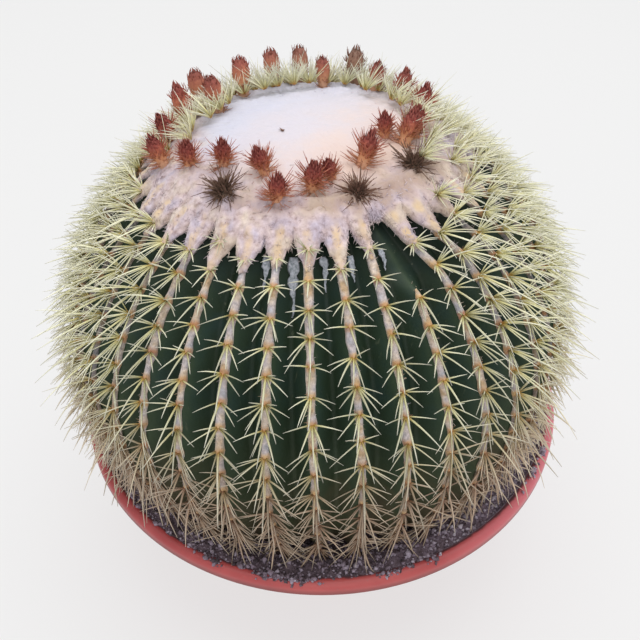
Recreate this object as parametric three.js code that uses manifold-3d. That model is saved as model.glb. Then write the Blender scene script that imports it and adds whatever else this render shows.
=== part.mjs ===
// A golden barrel cactus growing in a wide, shallow plastic bowl.
// Millimetres, +Z up. The origin is the centre of the bowl's flat foot, on the ground.
// The plant stands in its own group, whose origin is the middle of the bowl's mouth, and it
// leans a little back (+Y) and to the left (-X). Inside that group +Z is the plant's axis.

import * as THREE from 'three';
import { mergeVertices } from 'three/addons/utils/BufferGeometryUtils.js';
import Module from 'manifold-3d';

const wasm = await Module();
wasm.setup();

// ---- Driving dimensions -------------------------------------------------------------------

const clearance = 0.35;            // gap between pieces that touch

// Bowl
const bowlSides = 36;              // flat sides that stand for its round wall
const mouthRadius = 200;           // to the outside of the rolled lip
const bowlHeight = 152;            // foot to the top of the lip
const lipRadius = 5.2;             // rounding of the lip's top
const lipSteps = 4;                // facets of that rounding
const lipSkirt = 7;                // straight band under the rounding
const skirtThickness = 3.2;
const wallThickness = 3;
const floorThickness = 4;
const footRadius = 100;
const wallTopRadius = 186;         // outside of the wall, where it meets the lip
const wallBulge = { radius: 158, height: 62 };   // control point of the wall's curve
const wallSteps = 4;               // facets of that curve
const drainHoles = 5;
const drainHoleRadius = 6;
const drainHoleSides = 10;
const drainCircleRadius = 62;

// Soil
const soilEdgeHeight = 140.2;      // at the bowl's wall
const soilMiddleHeight = 141;      // on the bowl's axis, inside the plant

// Plant: its outline is two half superellipses that meet at the widest level
const mouthPlaneHeight = 143;      // the plant's own zero level, above the ground
const plantShift = { x: -1.7, y: -8 };
const leanBack = THREE.MathUtils.degToRad(5);
const leanLeft = THREE.MathUtils.degToRad(1.7);
const ribCount = 38;
const plantRadius = 188;           // to the crests of the ribs
const widestLevel = 97;
const upperHeight = 166;
const upperPower = 1.81;
const lowerHeight = 191;
const lowerPower = 2.11;
const buriedLevel = -0.78;         // lowest level that still has ribs
const lowestExposedLevel = -0.42;
const underWoolLevels = [0.82, 0.865];
const rootRings = [[26, -112], [64, -78]];       // radius and height of the root stock
const crownRing = [60, 243];       // where the ribs end under the wool
const crownMiddleHeight = 241;
const ribDepthShare = 0.105;       // depth of a rib, as a share of the radius there
const crestHalfWidth = 3;          // flat land on top of a rib, which carries the areoles
const shortRib = 3;                // a younger rib that starts lower than the others
const shortRibTop = 0.64;          // its upper end, as a share of the upper height

// Areoles and spines
const areolePitch = 18;
const firstAreoleLevel = 0.745;    // share of the upper height
const lowestAreoleAboveSoil = 10;
const areoleHalfLength = 2.2;
const stripHalfWidth = 2.5;        // felt strip that joins a rib's areoles
const stripGap = 0.45;             // under the strip, because the rib is a little curved
const stripHeight = 1.9;
const sideSpineLength = 20;
const sideSpineShare = 0.42;       // sideways reach, as a share of the rib spacing
const sideSpineDroop = 4;
const centralSpineReach = 15;
const centralSpineDroop = 9;
const spineSoilClearance = 2;
const mouthRoom = 20;              // areoles lower than this above the soil have short spines
const mouthSpineShare = 0.5;

// Crown wool
const woolDomeHeight = 257;        // top of the cushion, in the plant's frame
const woolDomeFall = 0.00145;      // it drops by this times the radius squared
const woolThickness = 6;
const woolDepth = 30;              // how far the uncut blank reaches into the plant
const woolRing = 48;               // radius of the ring half way out on the cushion
const woolShoulder = 0.885;        // level of the ring where the cushion meets the ribs
const woolCrestLevels = [0.83, 0.768];
const woolValleyLevels = [0.855, 0.82];
const woolCrestSag = [0, 2];       // how far the wool sinks towards its edge, on a rib
const woolValleySag = [1.5, 4];    // and between two ribs

// Dried flower heads: the side they stand on, from the front towards +X, and their distance
// from the plant's axis
const headRadius = 6.5;
const headHeight = 28;
const headFootRadius = 3.6;
const headWaistHeight = 11;        // where it is widest
const headShoulderRadius = 3.9;
const headShoulderHeight = 22;
const headSides = 6;
const headSeatDepth = 3;
const headLeanBase = 6;            // degrees
const headLeanPerRadius = 0.2;     // more degrees for each millimetre from the axis
const headSeats = [
  [-13, 88], [3, 75], [-36, 92], [-25, 66], [-51, 71], [-67, 84], [-77, 98], [-97, 97],
  [-110, 84], [-128, 92], [-146, 85], [-163, 97], [179, 98], [150, 97], [114, 86], [69, 72],
  [59, 88], [22, 86],
];

// ---- Small helpers ------------------------------------------------------------------------

function closedGeometry(points, triangles) {
  const geometry = new THREE.BufferGeometry();
  geometry.setAttribute('position', new THREE.Float32BufferAttribute(points.flat(), 3));
  geometry.setIndex(triangles.flat());
  geometry.computeVertexNormals();
  return geometry;
}

// A closed geometry as a manifold-3d solid, in place.
function toSolid(geometry, matrix = new THREE.Matrix4()) {
  const plain = geometry.clone().applyMatrix4(matrix);
  plain.deleteAttribute('normal');
  plain.deleteAttribute('uv');
  const merged = mergeVertices(plain, 1e-4);
  return new wasm.Manifold(new wasm.Mesh({
    numProp: 3,
    vertProperties: new Float32Array(merged.attributes.position.array),
    triVerts: new Uint32Array(merged.index.array),
  }));
}

function toGeometry(solid) {
  const mesh = solid.getMesh();
  const geometry = new THREE.BufferGeometry();
  geometry.setAttribute('position', new THREE.BufferAttribute(mesh.vertProperties, 3));
  geometry.setIndex(new THREE.BufferAttribute(mesh.triVerts, 1));
  geometry.computeVertexNormals();
  return geometry;
}

// A closed outline of [radius, height] pairs, listed upwards along the outside, turned about +Z.
function turned(outline, sides) {
  const points = outline.map(([radius, height]) => new THREE.Vector2(radius, height));
  return new THREE.LatheGeometry(points, sides).rotateX(Math.PI / 2);
}

function namedMesh(name, geometry, material) {
  const mesh = new THREE.Mesh(geometry, material);
  mesh.name = name;
  return mesh;
}

function material(color, roughness) {
  return new THREE.MeshStandardMaterial({ color, roughness, metalness: 0 });
}

// ---- Bowl ---------------------------------------------------------------------------------

// The wall's curve, from the foot to the lip, moved inwards by an amount.
function wallPoints(inset, bottom, top) {
  const curve = new THREE.QuadraticBezierCurve(
    new THREE.Vector2(footRadius - inset, bottom),
    new THREE.Vector2(wallBulge.radius - inset, wallBulge.height),
    new THREE.Vector2(wallTopRadius - inset, top),
  );
  return curve.getPoints(wallSteps).map((point) => [point.x, point.y]);
}

const skirtBottom = bowlHeight - lipRadius - lipSkirt;

function bowlGeometry() {
  const underLip = skirtBottom + skirtThickness;
  const lipMiddle = mouthRadius - lipRadius;
  const lip = [];
  for (let step = 0; step <= lipSteps; step += 1) {
    const angle = (Math.PI * step) / lipSteps;
    const radius = lipMiddle + lipRadius * Math.cos(angle);
    const height = bowlHeight - lipRadius + lipRadius * Math.sin(angle);
    lip.push([radius, height]);
  }
  const innerWall = wallPoints(wallThickness, floorThickness, skirtBottom).reverse();
  const outline = [
    [0, 0],
    ...wallPoints(0, 0, underLip),
    [mouthRadius - skirtThickness, underLip],
    [mouthRadius - skirtThickness, skirtBottom],
    [mouthRadius, skirtBottom],
    ...lip,
    ...innerWall,
    [0, floorThickness],
  ];
  let solid = toSolid(turned(outline, bowlSides));
  const depth = 4 * floorThickness;
  const hole = new THREE.CylinderGeometry(drainHoleRadius, drainHoleRadius, depth, drainHoleSides);
  hole.rotateX(Math.PI / 2);
  for (let index = 0; index < drainHoles; index += 1) {
    const angle = (2 * Math.PI * index) / drainHoles;
    const x = drainCircleRadius * Math.cos(angle);
    const y = drainCircleRadius * Math.sin(angle);
    solid = solid.subtract(toSolid(hole, new THREE.Matrix4().makeTranslation(x, y, 0)));
  }
  return toGeometry(solid);
}

// ---- Plant body ---------------------------------------------------------------------------

// Radius and height of a rib's crest at a level from -1 (bottom) to 1 (top).
function crestPoint(level) {
  const power = level > 0 ? upperPower : lowerPower;
  const reach = level > 0 ? upperHeight : lowerHeight;
  const radius = plantRadius * Math.sqrt(1 - Math.abs(level) ** power);
  return new THREE.Vector2(radius, widestLevel + reach * level);
}

// The level that lies a given distance down the crest from another level.
function levelBelow(level, distance) {
  const step = 0.002;
  let left = distance;
  let here = level;
  let stride = crestPoint(here).distanceTo(crestPoint(here - step));
  while (stride < left) {
    left -= stride;
    here -= step;
    stride = crestPoint(here).distanceTo(crestPoint(here - step));
  }
  return here - step * (left / stride);
}

// Levels of the body's rings. Where the rib shows they are two areoles apart.
const exposedLevels = [firstAreoleLevel];
while (exposedLevels.at(-1) > lowestExposedLevel) {
  exposedLevels.push(levelBelow(exposedLevels.at(-1), 2 * areolePitch));
}
const bodyLevels = [buriedLevel, ...exposedLevels.toReversed(), ...underWoolLevels];

// One ring of the body has three points a rib: the two edges of its crest and the valley.
function bodyRing(radius, height, depth, missingRib, grow) {
  const ring = [];
  for (let rib = 0; rib < ribCount; rib += 1) {
    const middle = (2 * Math.PI * rib) / ribCount;
    const half = crestHalfWidth / radius;
    const crest = rib === missingRib ? radius - depth : radius;
    const spots = [[middle - half, crest], [middle + half, crest]];
    spots.push([middle + Math.PI / ribCount, radius - depth]);
    for (const [angle, reach] of spots) {
      ring.push([(reach + grow) * Math.sin(angle), -(reach + grow) * Math.cos(angle), height]);
    }
  }
  return ring;
}

// The whole body, grown outwards by an amount when it is used to cut its neighbours.
function bodyGeometry(grow) {
  const rings = rootRings.map(([radius, height]) => bodyRing(radius, height - grow, 0, -1, grow));
  for (const level of bodyLevels) {
    const { x: radius, y: height } = crestPoint(level);
    const missing = level > shortRibTop ? shortRib : -1;
    const depth = ribDepthShare * radius;
    rings.push(bodyRing(radius, height + level * grow, depth, missing, grow));
  }
  rings.push(bodyRing(crownRing[0], crownRing[1] + grow, 0, -1, grow));
  const columns = 3 * ribCount;
  const points = [[0, 0, rootRings[0][1] - 2 * grow], ...rings.flat(), [0, 0, crownMiddleHeight + grow]];
  const triangles = [];
  for (let column = 0; column < columns; column += 1) {
    const next = (column + 1) % columns;
    triangles.push([0, 1 + next, 1 + column]);
    for (let ring = 0; ring < rings.length - 1; ring += 1) {
      const low = 1 + ring * columns;
      const high = low + columns;
      triangles.push([low + column, low + next, high + next]);
      triangles.push([low + column, high + next, high + column]);
    }
    const last = 1 + (rings.length - 1) * columns;
    triangles.push([last + column, last + next, points.length - 1]);
  }
  return closedGeometry(points, triangles);
}

// ---- Soil ---------------------------------------------------------------------------------

function soilGeometry(plantMatrix) {
  const inset = wallThickness + clearance;
  const wall = wallPoints(inset, floorThickness + clearance, skirtBottom);
  const outline = [
    [0, floorThickness + clearance],
    ...wall,
    [wall.at(-1)[0], soilEdgeHeight],
    [0, soilMiddleHeight],
  ];
  const plant = toSolid(bodyGeometry(2 * clearance), plantMatrix);
  return toGeometry(toSolid(turned(outline, bowlSides)).subtract(plant));
}

// ---- Spine rows ---------------------------------------------------------------------------

// A point on the crest of the front rib, on the straight facets between the body's rings.
function facetPoint(level) {
  let index = exposedLevels.findIndex((ring) => ring < level);
  index = index < 0 ? exposedLevels.length - 1 : Math.max(index, 1);
  const upper = crestPoint(exposedLevels[index - 1]);
  const lower = crestPoint(exposedLevels[index]);
  const share = (exposedLevels[index - 1] - level) / (exposedLevels[index - 1] - exposedLevels[index]);
  return upper.lerp(lower, share);
}

const nearbyLevel = 0.03;          // a level this far below gives the crest's direction

// Where a row runs: the point, the outward direction and the downward direction at a level.
function crestFrame(level) {
  const place = facetPoint(level);
  const below = facetPoint(level - nearbyLevel);
  const down = below.sub(place).normalize();
  return {
    place: new THREE.Vector3(0, -place.x, place.y),
    down: new THREE.Vector3(0, -down.x, down.y),
    out: new THREE.Vector3(0, down.y, down.x),
    radius: place.x,
  };
}

function heightAboveSoil(point, rib, plantMatrix) {
  const turn = new THREE.Matrix4().makeRotationZ((2 * Math.PI * rib) / ribCount);
  const placed = point.clone().applyMatrix4(turn).applyMatrix4(plantMatrix);
  return placed.z - soilMiddleHeight;
}

// Levels of a rib's areoles, from under the wool down to just above the soil.
function areoleLevels(rib, plantMatrix) {
  const levels = [];
  let level = levelBelow(firstAreoleLevel, areoleHalfLength);
  while (heightAboveSoil(crestFrame(level).place, rib, plantMatrix) > lowestAreoleAboveSoil) {
    if (rib !== shortRib || level < shortRibTop - nearbyLevel) {
      levels.push(level);
    }
    level = levelBelow(level, areolePitch);
  }
  return levels;
}

// The felt strip along one crest, with three spines drawn out of it at each areole. The strip
// has a three-sided section: two edges on the rib and a ridge. A spine is a facet of the strip
// raised to a point.
function spineRowGeometry(rib, plantMatrix) {
  const points = [];
  const triangles = [];
  const levels = areoleLevels(rib, plantMatrix);
  const addPoint = (vector) => points.push(vector.toArray()) - 1;

  function addSection(frame, along) {
    const middle = frame.place.clone().addScaledVector(frame.down, along);
    const low = middle.clone().addScaledVector(frame.out, stripGap);
    const left = addPoint(low.clone().setX(-stripHalfWidth));
    addPoint(low.clone().setX(stripHalfWidth));
    addPoint(middle.clone().addScaledVector(frame.out, stripHeight));
    return { left, right: left + 1, ridge: left + 2 };
  }

  function addSpine(corners, tip) {
    const apex = addPoint(tip);
    triangles.push([corners[0], corners[1], apex]);
    triangles.push([corners[1], corners[2], apex]);
    triangles.push([corners[2], corners[0], apex]);
  }

  function sideTip(frame, side, droop, size) {
    const reach = sideSpineShare * ((2 * Math.PI * frame.radius) / ribCount);
    const rise = size * Math.sqrt(sideSpineLength ** 2 - reach ** 2);
    const tip = frame.place.clone().addScaledVector(frame.out, rise);
    return tip.addScaledVector(frame.down, droop).setX(side * reach);
  }

  function centralTip(frame, droop, size) {
    const tip = frame.place.clone().addScaledVector(frame.out, size * centralSpineReach);
    return tip.addScaledVector(frame.down, droop);
  }

  function quad(a, b, c, d) {
    triangles.push([a, b, c], [a, c, d]);
  }

  let previous = null;
  for (const level of levels) {
    const frame = crestFrame(level);
    const room = heightAboveSoil(frame.place, rib, plantMatrix) - spineSoilClearance;
    const upper = addSection(frame, -areoleHalfLength);
    const lower = addSection(frame, areoleHalfLength);
    if (previous === null) {
      triangles.push([upper.left, upper.ridge, upper.right]);
    } else {
      quad(upper.left, upper.ridge, previous.ridge, previous.left);
      quad(upper.ridge, upper.right, previous.right, previous.ridge);
      quad(upper.right, upper.left, previous.left, previous.right);
    }
    const size = room < mouthRoom ? mouthSpineShare : 1;
    const sideDroop = Math.min(sideSpineDroop, size * room);
    const centralDroop = Math.min(centralSpineDroop, size * room);
    addSpine([lower.left, upper.ridge, upper.left], sideTip(frame, -1, sideDroop, size));
    addSpine([lower.left, lower.ridge, upper.ridge], centralTip(frame, centralDroop, size));
    addSpine([lower.ridge, upper.right, upper.ridge], sideTip(frame, 1, sideDroop, size));
    triangles.push([lower.ridge, lower.right, upper.right]);
    quad(lower.right, lower.left, upper.left, upper.right);
    previous = lower;
  }
  triangles.push([previous.left, previous.right, previous.ridge]);
  return closedGeometry(points, triangles);
}

// ---- Crown wool ---------------------------------------------------------------------------

// The wool's upper surface on the crest line at a level.
function woolOverCrest(level) {
  const here = crestPoint(level);
  const below = crestPoint(level - nearbyLevel);
  const away = new THREE.Vector2(here.y - below.y, below.x - here.x).normalize();
  return here.addScaledVector(away, woolThickness);
}

function domeHeight(radius) {
  return woolDomeHeight - woolDomeFall * radius ** 2;
}

function woolGeometry(heads) {
  const columns = 2 * ribCount;
  const rings = [Array(columns).fill([woolRing, domeHeight(woolRing)])];
  const shoulder = woolOverCrest(woolShoulder);
  rings.push(Array(columns).fill([shoulder.x, domeHeight(shoulder.x)]));
  for (const step of [0, 1]) {
    const ring = [];
    for (let column = 0; column < columns; column += 1) {
      const onCrest = column % 2 === 0 && column !== 2 * shortRib;
      const edge = woolOverCrest(onCrest ? woolCrestLevels[step] : woolValleyLevels[step]);
      const sag = onCrest ? woolCrestSag[step] : woolValleySag[step];
      ring.push([edge.x - sag, edge.y - sag]);
    }
    rings.push(ring);
  }
  const points = [];
  const triangles = [];
  for (const drop of [0, woolDepth]) {
    points.push([0, 0, domeHeight(0) - drop]);
    for (const ring of rings) {
      ring.forEach(([radius, height], column) => {
        const angle = (2 * Math.PI * column) / columns;
        const reach = radius * (1 - drop / plantRadius);
        points.push([reach * Math.sin(angle), -reach * Math.cos(angle), height - drop]);
      });
    }
  }
  const layer = 1 + rings.length * columns;
  for (let column = 0; column < columns; column += 1) {
    const next = (column + 1) % columns;
    triangles.push([0, 1 + column, 1 + next]);
    triangles.push([layer, layer + 1 + next, layer + 1 + column]);
    for (let ring = 0; ring < rings.length - 1; ring += 1) {
      const inner = 1 + ring * columns;
      const outer = inner + columns;
      triangles.push([inner + column, outer + column, outer + next]);
      triangles.push([inner + column, outer + next, inner + next]);
      triangles.push([layer + inner + column, layer + outer + next, layer + outer + column]);
      triangles.push([layer + inner + column, layer + inner + next, layer + outer + next]);
    }
    const rim = 1 + (rings.length - 1) * columns;
    triangles.push([rim + column, layer + rim + column, layer + rim + next]);
    triangles.push([rim + column, layer + rim + next, rim + next]);
  }
  let solid = toSolid(closedGeometry(points, triangles));
  solid = solid.subtract(toSolid(bodyGeometry(2 * clearance)));
  for (const head of heads) {
    solid = solid.subtract(toSolid(headGeometry(clearance), head.matrix));
  }
  return toGeometry(solid);
}

// ---- Dried flower heads -------------------------------------------------------------------

// A pointed bud, narrow where it stands on its own origin.
function headGeometry(grow) {
  const outline = [
    [0, -grow],
    [headFootRadius + grow, -grow],
    [headRadius + grow, headWaistHeight],
    [headShoulderRadius + grow, headShoulderHeight],
    [0, headHeight + grow],
  ];
  return turned(outline, headSides);
}

function headMesh(index, finish) {
  const [side, radius] = headSeats[index];
  const mesh = namedMesh(`flower_head_${String(index + 1).padStart(2, '0')}`, headGeometry(0), finish);
  const bearing = THREE.MathUtils.degToRad(side);
  const lean = THREE.MathUtils.degToRad(headLeanBase + headLeanPerRadius * radius);
  const surface = domeHeight(radius);
  const x = radius * Math.sin(bearing);
  const y = -radius * Math.cos(bearing);
  mesh.position.set(x, y, surface - headSeatDepth);
  mesh.rotation.set(lean, 0, bearing, 'ZYX');
  mesh.updateMatrix();
  return mesh;
}

// ---- Assembly -----------------------------------------------------------------------------

const terracottaPlastic = material(0xb9625c, 0.45);
const pottingSoil = material(0x4d4247, 0.95);
const cactusSkin = material(0x2c4434, 0.5);
const spineMaterial = material(0xd9d3a2, 0.5);
const cream = material(0xe6d9d2, 0.95);
const driedFlower = material(0x8c4236, 0.85);

const potted = new THREE.Group();
const plant = new THREE.Group();
plant.position.set(plantShift.x, plantShift.y, mouthPlaneHeight);
plant.rotation.set(-leanBack, -leanLeft, 0);
plant.updateMatrix();

const heads = headSeats.map((seat, index) => headMesh(index, driedFlower));
plant.add(namedMesh('cactus_body', bodyGeometry(0), cactusSkin));
plant.add(namedMesh('crown_wool', woolGeometry(heads), cream));
plant.add(...heads);
for (let rib = 0; rib < ribCount; rib += 1) {
  const name = `spine_row_${String(rib + 1).padStart(2, '0')}`;
  const row = namedMesh(name, spineRowGeometry(rib, plant.matrix), spineMaterial);
  row.rotation.z = (2 * Math.PI * rib) / ribCount;
  plant.add(row);
}

potted.add(namedMesh('bowl', bowlGeometry(), terracottaPlastic));
potted.add(namedMesh('soil', soilGeometry(plant.matrix), pottingSoil));
potted.add(plant);

export default potted;
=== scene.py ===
# A golden barrel cactus in a shallow plastic bowl, built up in the order in which it is potted:
# bowl, soil, plant, spines, crown wool and dried flower heads, and then the studio.
# Lengths are in metres in the CAD's frame: +Z up, the front towards -Y.

import math
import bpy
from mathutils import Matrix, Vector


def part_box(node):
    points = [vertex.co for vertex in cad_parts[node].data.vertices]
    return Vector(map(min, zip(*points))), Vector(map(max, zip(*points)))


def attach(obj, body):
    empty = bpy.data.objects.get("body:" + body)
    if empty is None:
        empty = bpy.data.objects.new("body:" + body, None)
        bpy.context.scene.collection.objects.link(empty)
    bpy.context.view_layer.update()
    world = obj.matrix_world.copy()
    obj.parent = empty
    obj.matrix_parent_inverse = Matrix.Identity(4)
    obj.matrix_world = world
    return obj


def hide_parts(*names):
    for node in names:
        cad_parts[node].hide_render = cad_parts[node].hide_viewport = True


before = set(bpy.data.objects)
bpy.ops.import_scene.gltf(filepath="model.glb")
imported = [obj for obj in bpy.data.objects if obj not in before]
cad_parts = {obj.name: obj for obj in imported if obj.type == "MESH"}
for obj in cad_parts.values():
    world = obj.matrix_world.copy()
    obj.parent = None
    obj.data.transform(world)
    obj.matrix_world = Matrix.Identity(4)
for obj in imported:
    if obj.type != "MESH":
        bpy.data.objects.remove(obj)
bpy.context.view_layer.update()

from types import SimpleNamespace

import bpy
import bmesh
import numpy as np
from mathutils import Matrix, Vector, noise


# ---- Bowl ----------------------------------------------------------------------------------
# A wide, shallow planting bowl, injection moulded in terracotta-coloured polypropylene. Its
# wall flares up from a flat foot with five drain holes to a lip that is rolled over for
# stiffness and ends in a short skirt.

MM = 0.001
_, bowl_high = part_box("bowl")
MOUTH_RADIUS = bowl_high.x
BOWL_TOP = bowl_high.z
LIP_RADIUS = 5.2 * MM
LIP_SKIRT = 7 * MM
SKIRT_THICKNESS = 3.2 * MM
WALL_THICKNESS = 3 * MM
FLOOR_THICKNESS = 4 * MM
FOOT_RADIUS = 100 * MM
WALL_TOP_RADIUS = 186 * MM
WALL_BULGE_RADIUS = 158 * MM
WALL_BULGE_HEIGHT = 62 * MM
BOWL_SIDES = 160
DRAIN_HOLES = 5
DRAIN_RADIUS = 6 * MM
DRAIN_CIRCLE_RADIUS = 62 * MM
SHARP_ANGLE = 40
SKIRT_BOTTOM = BOWL_TOP - LIP_RADIUS - LIP_SKIRT


def wall_curve(inset, bottom, top, steps=24):
    """The wall from the foot up to the lip, moved inwards: points of radius and height."""
    share = np.linspace(0, 1, steps + 1)
    radius = ((1 - share) ** 2 * FOOT_RADIUS + 2 * share * (1 - share) * WALL_BULGE_RADIUS
              + share ** 2 * WALL_TOP_RADIUS - inset)
    height = ((1 - share) ** 2 * bottom + 2 * share * (1 - share) * WALL_BULGE_HEIGHT
              + share ** 2 * top)
    return np.column_stack([radius, height])


def arc(middle_radius, middle_height, radius, start, end, steps=10):
    """A round stretch of an outline, its angles in degrees from the outward direction."""
    angles = np.radians(np.linspace(start, end, steps + 1))
    return np.column_stack([middle_radius + radius * np.cos(angles),
                            middle_height + radius * np.sin(angles)])


def add_mesh(name, points, faces, materials, face_materials=None, attributes=None, sharp=None):
    """A smooth-shaded mesh object. attributes holds one number a point under each name."""
    mesh = bpy.data.meshes.new(name)
    mesh.from_pydata(np.asarray(points).tolist(), [], [list(face) for face in faces])
    turning = bmesh.new()
    turning.from_mesh(mesh)
    bmesh.ops.recalc_face_normals(turning, faces=turning.faces)
    turning.to_mesh(mesh)
    turning.free()
    for material in materials:
        mesh.materials.append(material)
    if face_materials is not None:
        mesh.polygons.foreach_set("material_index", np.asarray(face_materials, dtype=np.int32))
    for key, values in (attributes or {}).items():
        layer = mesh.attributes.new(key, "FLOAT", "POINT")
        layer.data.foreach_set("value", np.asarray(values, dtype=np.float32))
    mesh.shade_smooth()
    if sharp is not None:
        mesh.set_sharp_from_angle(angle=math.radians(sharp))
    mesh.update()
    piece = bpy.data.objects.new(name, mesh)
    bpy.context.scene.collection.objects.link(piece)
    return piece


def turned(outline, sides):
    """Points and faces of an outline of radius and height turned about the upright axis."""
    turning = bmesh.new()
    points = [turning.verts.new((radius, 0, height)) for radius, height in outline]
    edges = [turning.edges.new(pair) for pair in zip(points, points[1:])]
    bmesh.ops.spin(turning, geom=points + edges, axis=(0, 0, 1), cent=(0, 0, 0),
                   angle=2 * math.pi, steps=sides, use_merge=True)
    bmesh.ops.remove_doubles(turning, verts=turning.verts, dist=1e-6)
    bmesh.ops.recalc_face_normals(turning, faces=turning.faces)
    spots = [point.co[:] for point in turning.verts]
    faces = [[point.index for point in face.verts] for face in turning.faces]
    turning.free()
    return spots, faces


def linear(hex_colour):
    """A shader colour from an sRGB hex value."""
    channels = [int(hex_colour[place:place + 2], 16) / 255 for place in (1, 3, 5)]
    return tuple(c / 12.92 if c < 0.04045 else ((c + 0.055) / 1.055) ** 2.4
                 for c in channels) + (1.0,)


def join(tree, source, node, socket):
    """Feeds a node's input from an output, or from the first output of another node."""
    if isinstance(source, bpy.types.Node):
        source = source.outputs[0]
    tree.links.new(source, node.inputs[socket])


def add_node(tree, kind, inputs=None, stops=(), **settings):
    """Adds a node with its settings and links. An input takes a value, a hex colour, an
    output, or a node, which stands for its first output."""
    node = tree.nodes.new("ShaderNode" + kind)
    for key, value in settings.items():
        setattr(node, key, value)
    for index, (place, colour) in enumerate(stops):
        elements = node.color_ramp.elements
        stop = elements[index] if index < 2 else elements.new(place)
        stop.position = place
        stop.color = linear(colour) if isinstance(colour, str) else colour
    for key, value in (inputs or {}).items():
        if isinstance(value, (bpy.types.Node, bpy.types.NodeSocket)):
            join(tree, value, node, key)
        else:
            node.inputs[key].default_value = linear(value) if isinstance(value, str) else value
    return node


def new_material(name, values):
    """A material, its node tree and its shader, with the values that are uniform over it."""
    material = bpy.data.materials.new(name)
    material.use_nodes = True
    tree = material.node_tree
    shader = tree.nodes["Principled BSDF"]
    for socket, value in values.items():
        shader.inputs[socket].default_value = value
    return material, tree, shader


def moulded_polypropylene():
    """Moulded polypropylene, satin from a lightly blasted mould. Sun and washing leave it
    chalky in soft patches and soil dusts it. Painted light makes it lighter and pinker towards
    the right; painted shade darkens a band round the skirt's lower edge and a ragged band
    just inside the lip."""
    material, tree, shader = new_material("moulded_polypropylene",
                                          {"IOR": 1.49, "Roughness": 0.42})
    place = add_node(tree, "TexCoord").outputs["Object"]
    patches = add_node(
        tree, "TexNoise",
        {"Vector": place, "Scale": 1 / (60 * MM), "Detail": 4.0, "Roughness": 0.6})
    body = add_node(
        tree, "ValToRGB", {"Fac": patches}, stops=[(0.3, "#a84345"), (0.7, "#c05856")])
    axes = add_node(tree, "SeparateXYZ", {"Vector": place})
    bowl_right_light = add_node(
        # Painted light: lighter and pinker towards the right, where the light falls on the bowl.
        tree, "MapRange",
        {"Value": axes.outputs["X"], "From Min": 80 * MM, "From Max": 210 * MM})
    body = add_node(tree, "MixRGB", {"Fac": bowl_right_light, "Color1": body, "Color2": "#e27d89"})
    # Painted shade: a darker band round the skirt's lower edge, under the rolled lip.
    height = add_node(
        tree, "MapRange",
        {"Value": axes.outputs["Z"], "From Min": BOWL_TOP - 24 * MM, "From Max": BOWL_TOP})
    painted_skirt_shade = add_node(
        tree, "ValToRGB", {"Fac": height},
        stops=[(0.0, "#f6f0ee"), (1.0, "#ffffff"), (0.4, "#c2aaa6"), (0.58, "#bea6a2"),
               (0.8, "#ffffff")])
    body = add_node(
        tree, "MixRGB", {"Fac": 1.0, "Color1": body, "Color2": painted_skirt_shade}, blend_type="MULTIPLY")
    # Painted shade: a dark band with a ragged edge on the inside of the lip, above the soil.
    level = add_node(tree, "VectorMath", {0: place, 1: (1, 1, 0)}, operation="MULTIPLY")
    radius = add_node(tree, "VectorMath", {0: level}, operation="LENGTH")
    blots = add_node(tree, "TexNoise", {"Vector": place, "Scale": 1 / (7 * MM)})
    ragged = add_node(
        tree, "Math", {0: blots, 1: 4 * MM, 2: radius.outputs["Value"]},
        operation="MULTIPLY_ADD")
    lip_shade_band = add_node(
        tree, "MapRange",
        {"Value": ragged, "From Min": MOUTH_RADIUS - 5.6 * MM,
         "From Max": MOUTH_RADIUS - 4 * MM, "To Min": 0.85, "To Max": 0.0})
    near_lip = add_node(
        tree, "MapRange",
        {"Value": axes.outputs["Z"], "From Min": SKIRT_BOTTOM,
         "From Max": SKIRT_BOTTOM + 3 * MM})
    painted_lip_shade = add_node(tree, "Math", {0: lip_shade_band, 1: near_lip}, operation="MULTIPLY")
    body = add_node(tree, "MixRGB", {"Fac": painted_lip_shade, "Color1": body, "Color2": "#4a363b"})
    specks = add_node(
        tree, "TexNoise", {"Vector": place, "Scale": 1 / (2.5 * MM), "Detail": 3.0})
    dust = add_node(
        tree, "ValToRGB", {"Fac": specks}, stops=[(0.62, (0, 0, 0, 1)), (0.78, (1, 1, 1, 1))])
    dusty = add_node(tree, "Math", {0: dust, 1: 0.35}, operation="MULTIPLY")
    colour = add_node(tree, "MixRGB", {"Fac": dusty, "Color1": body, "Color2": "#8d6660"})
    join(tree, colour, shader, "Base Color")
    gloss = add_node(tree, "MapRange", {"Value": patches, "To Min": 0.36, "To Max": 0.52})
    join(tree, gloss, shader, "Roughness")
    grain = add_node(tree, "TexNoise", {"Vector": place, "Scale": 1 / (1.2 * MM)})
    bump = add_node(tree, "Bump", {"Height": grain, "Strength": 0.12, "Distance": 0.15 * MM})
    join(tree, bump, shader, "Normal")
    return material


def bowl_outline():
    """The bowl's section: under the foot, up the wall, over the lip and back inside."""
    lip_middle = MOUTH_RADIUS - LIP_RADIUS
    lip_height = BOWL_TOP - LIP_RADIUS
    edge = SKIRT_THICKNESS / 2
    under_lip = SKIRT_BOTTOM + SKIRT_THICKNESS
    return np.vstack([
        [[0, 0]],
        wall_curve(0, 0, under_lip),
        [[MOUTH_RADIUS - SKIRT_THICKNESS, under_lip]],
        arc(MOUTH_RADIUS - edge, SKIRT_BOTTOM + edge, edge, 180, 360, 6),
        arc(lip_middle, lip_height, LIP_RADIUS, 0, 180, 16),
        wall_curve(WALL_THICKNESS, FLOOR_THICKNESS, SKIRT_BOTTOM)[::-1],
        [[0, FLOOR_THICKNESS]],
    ])


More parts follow.
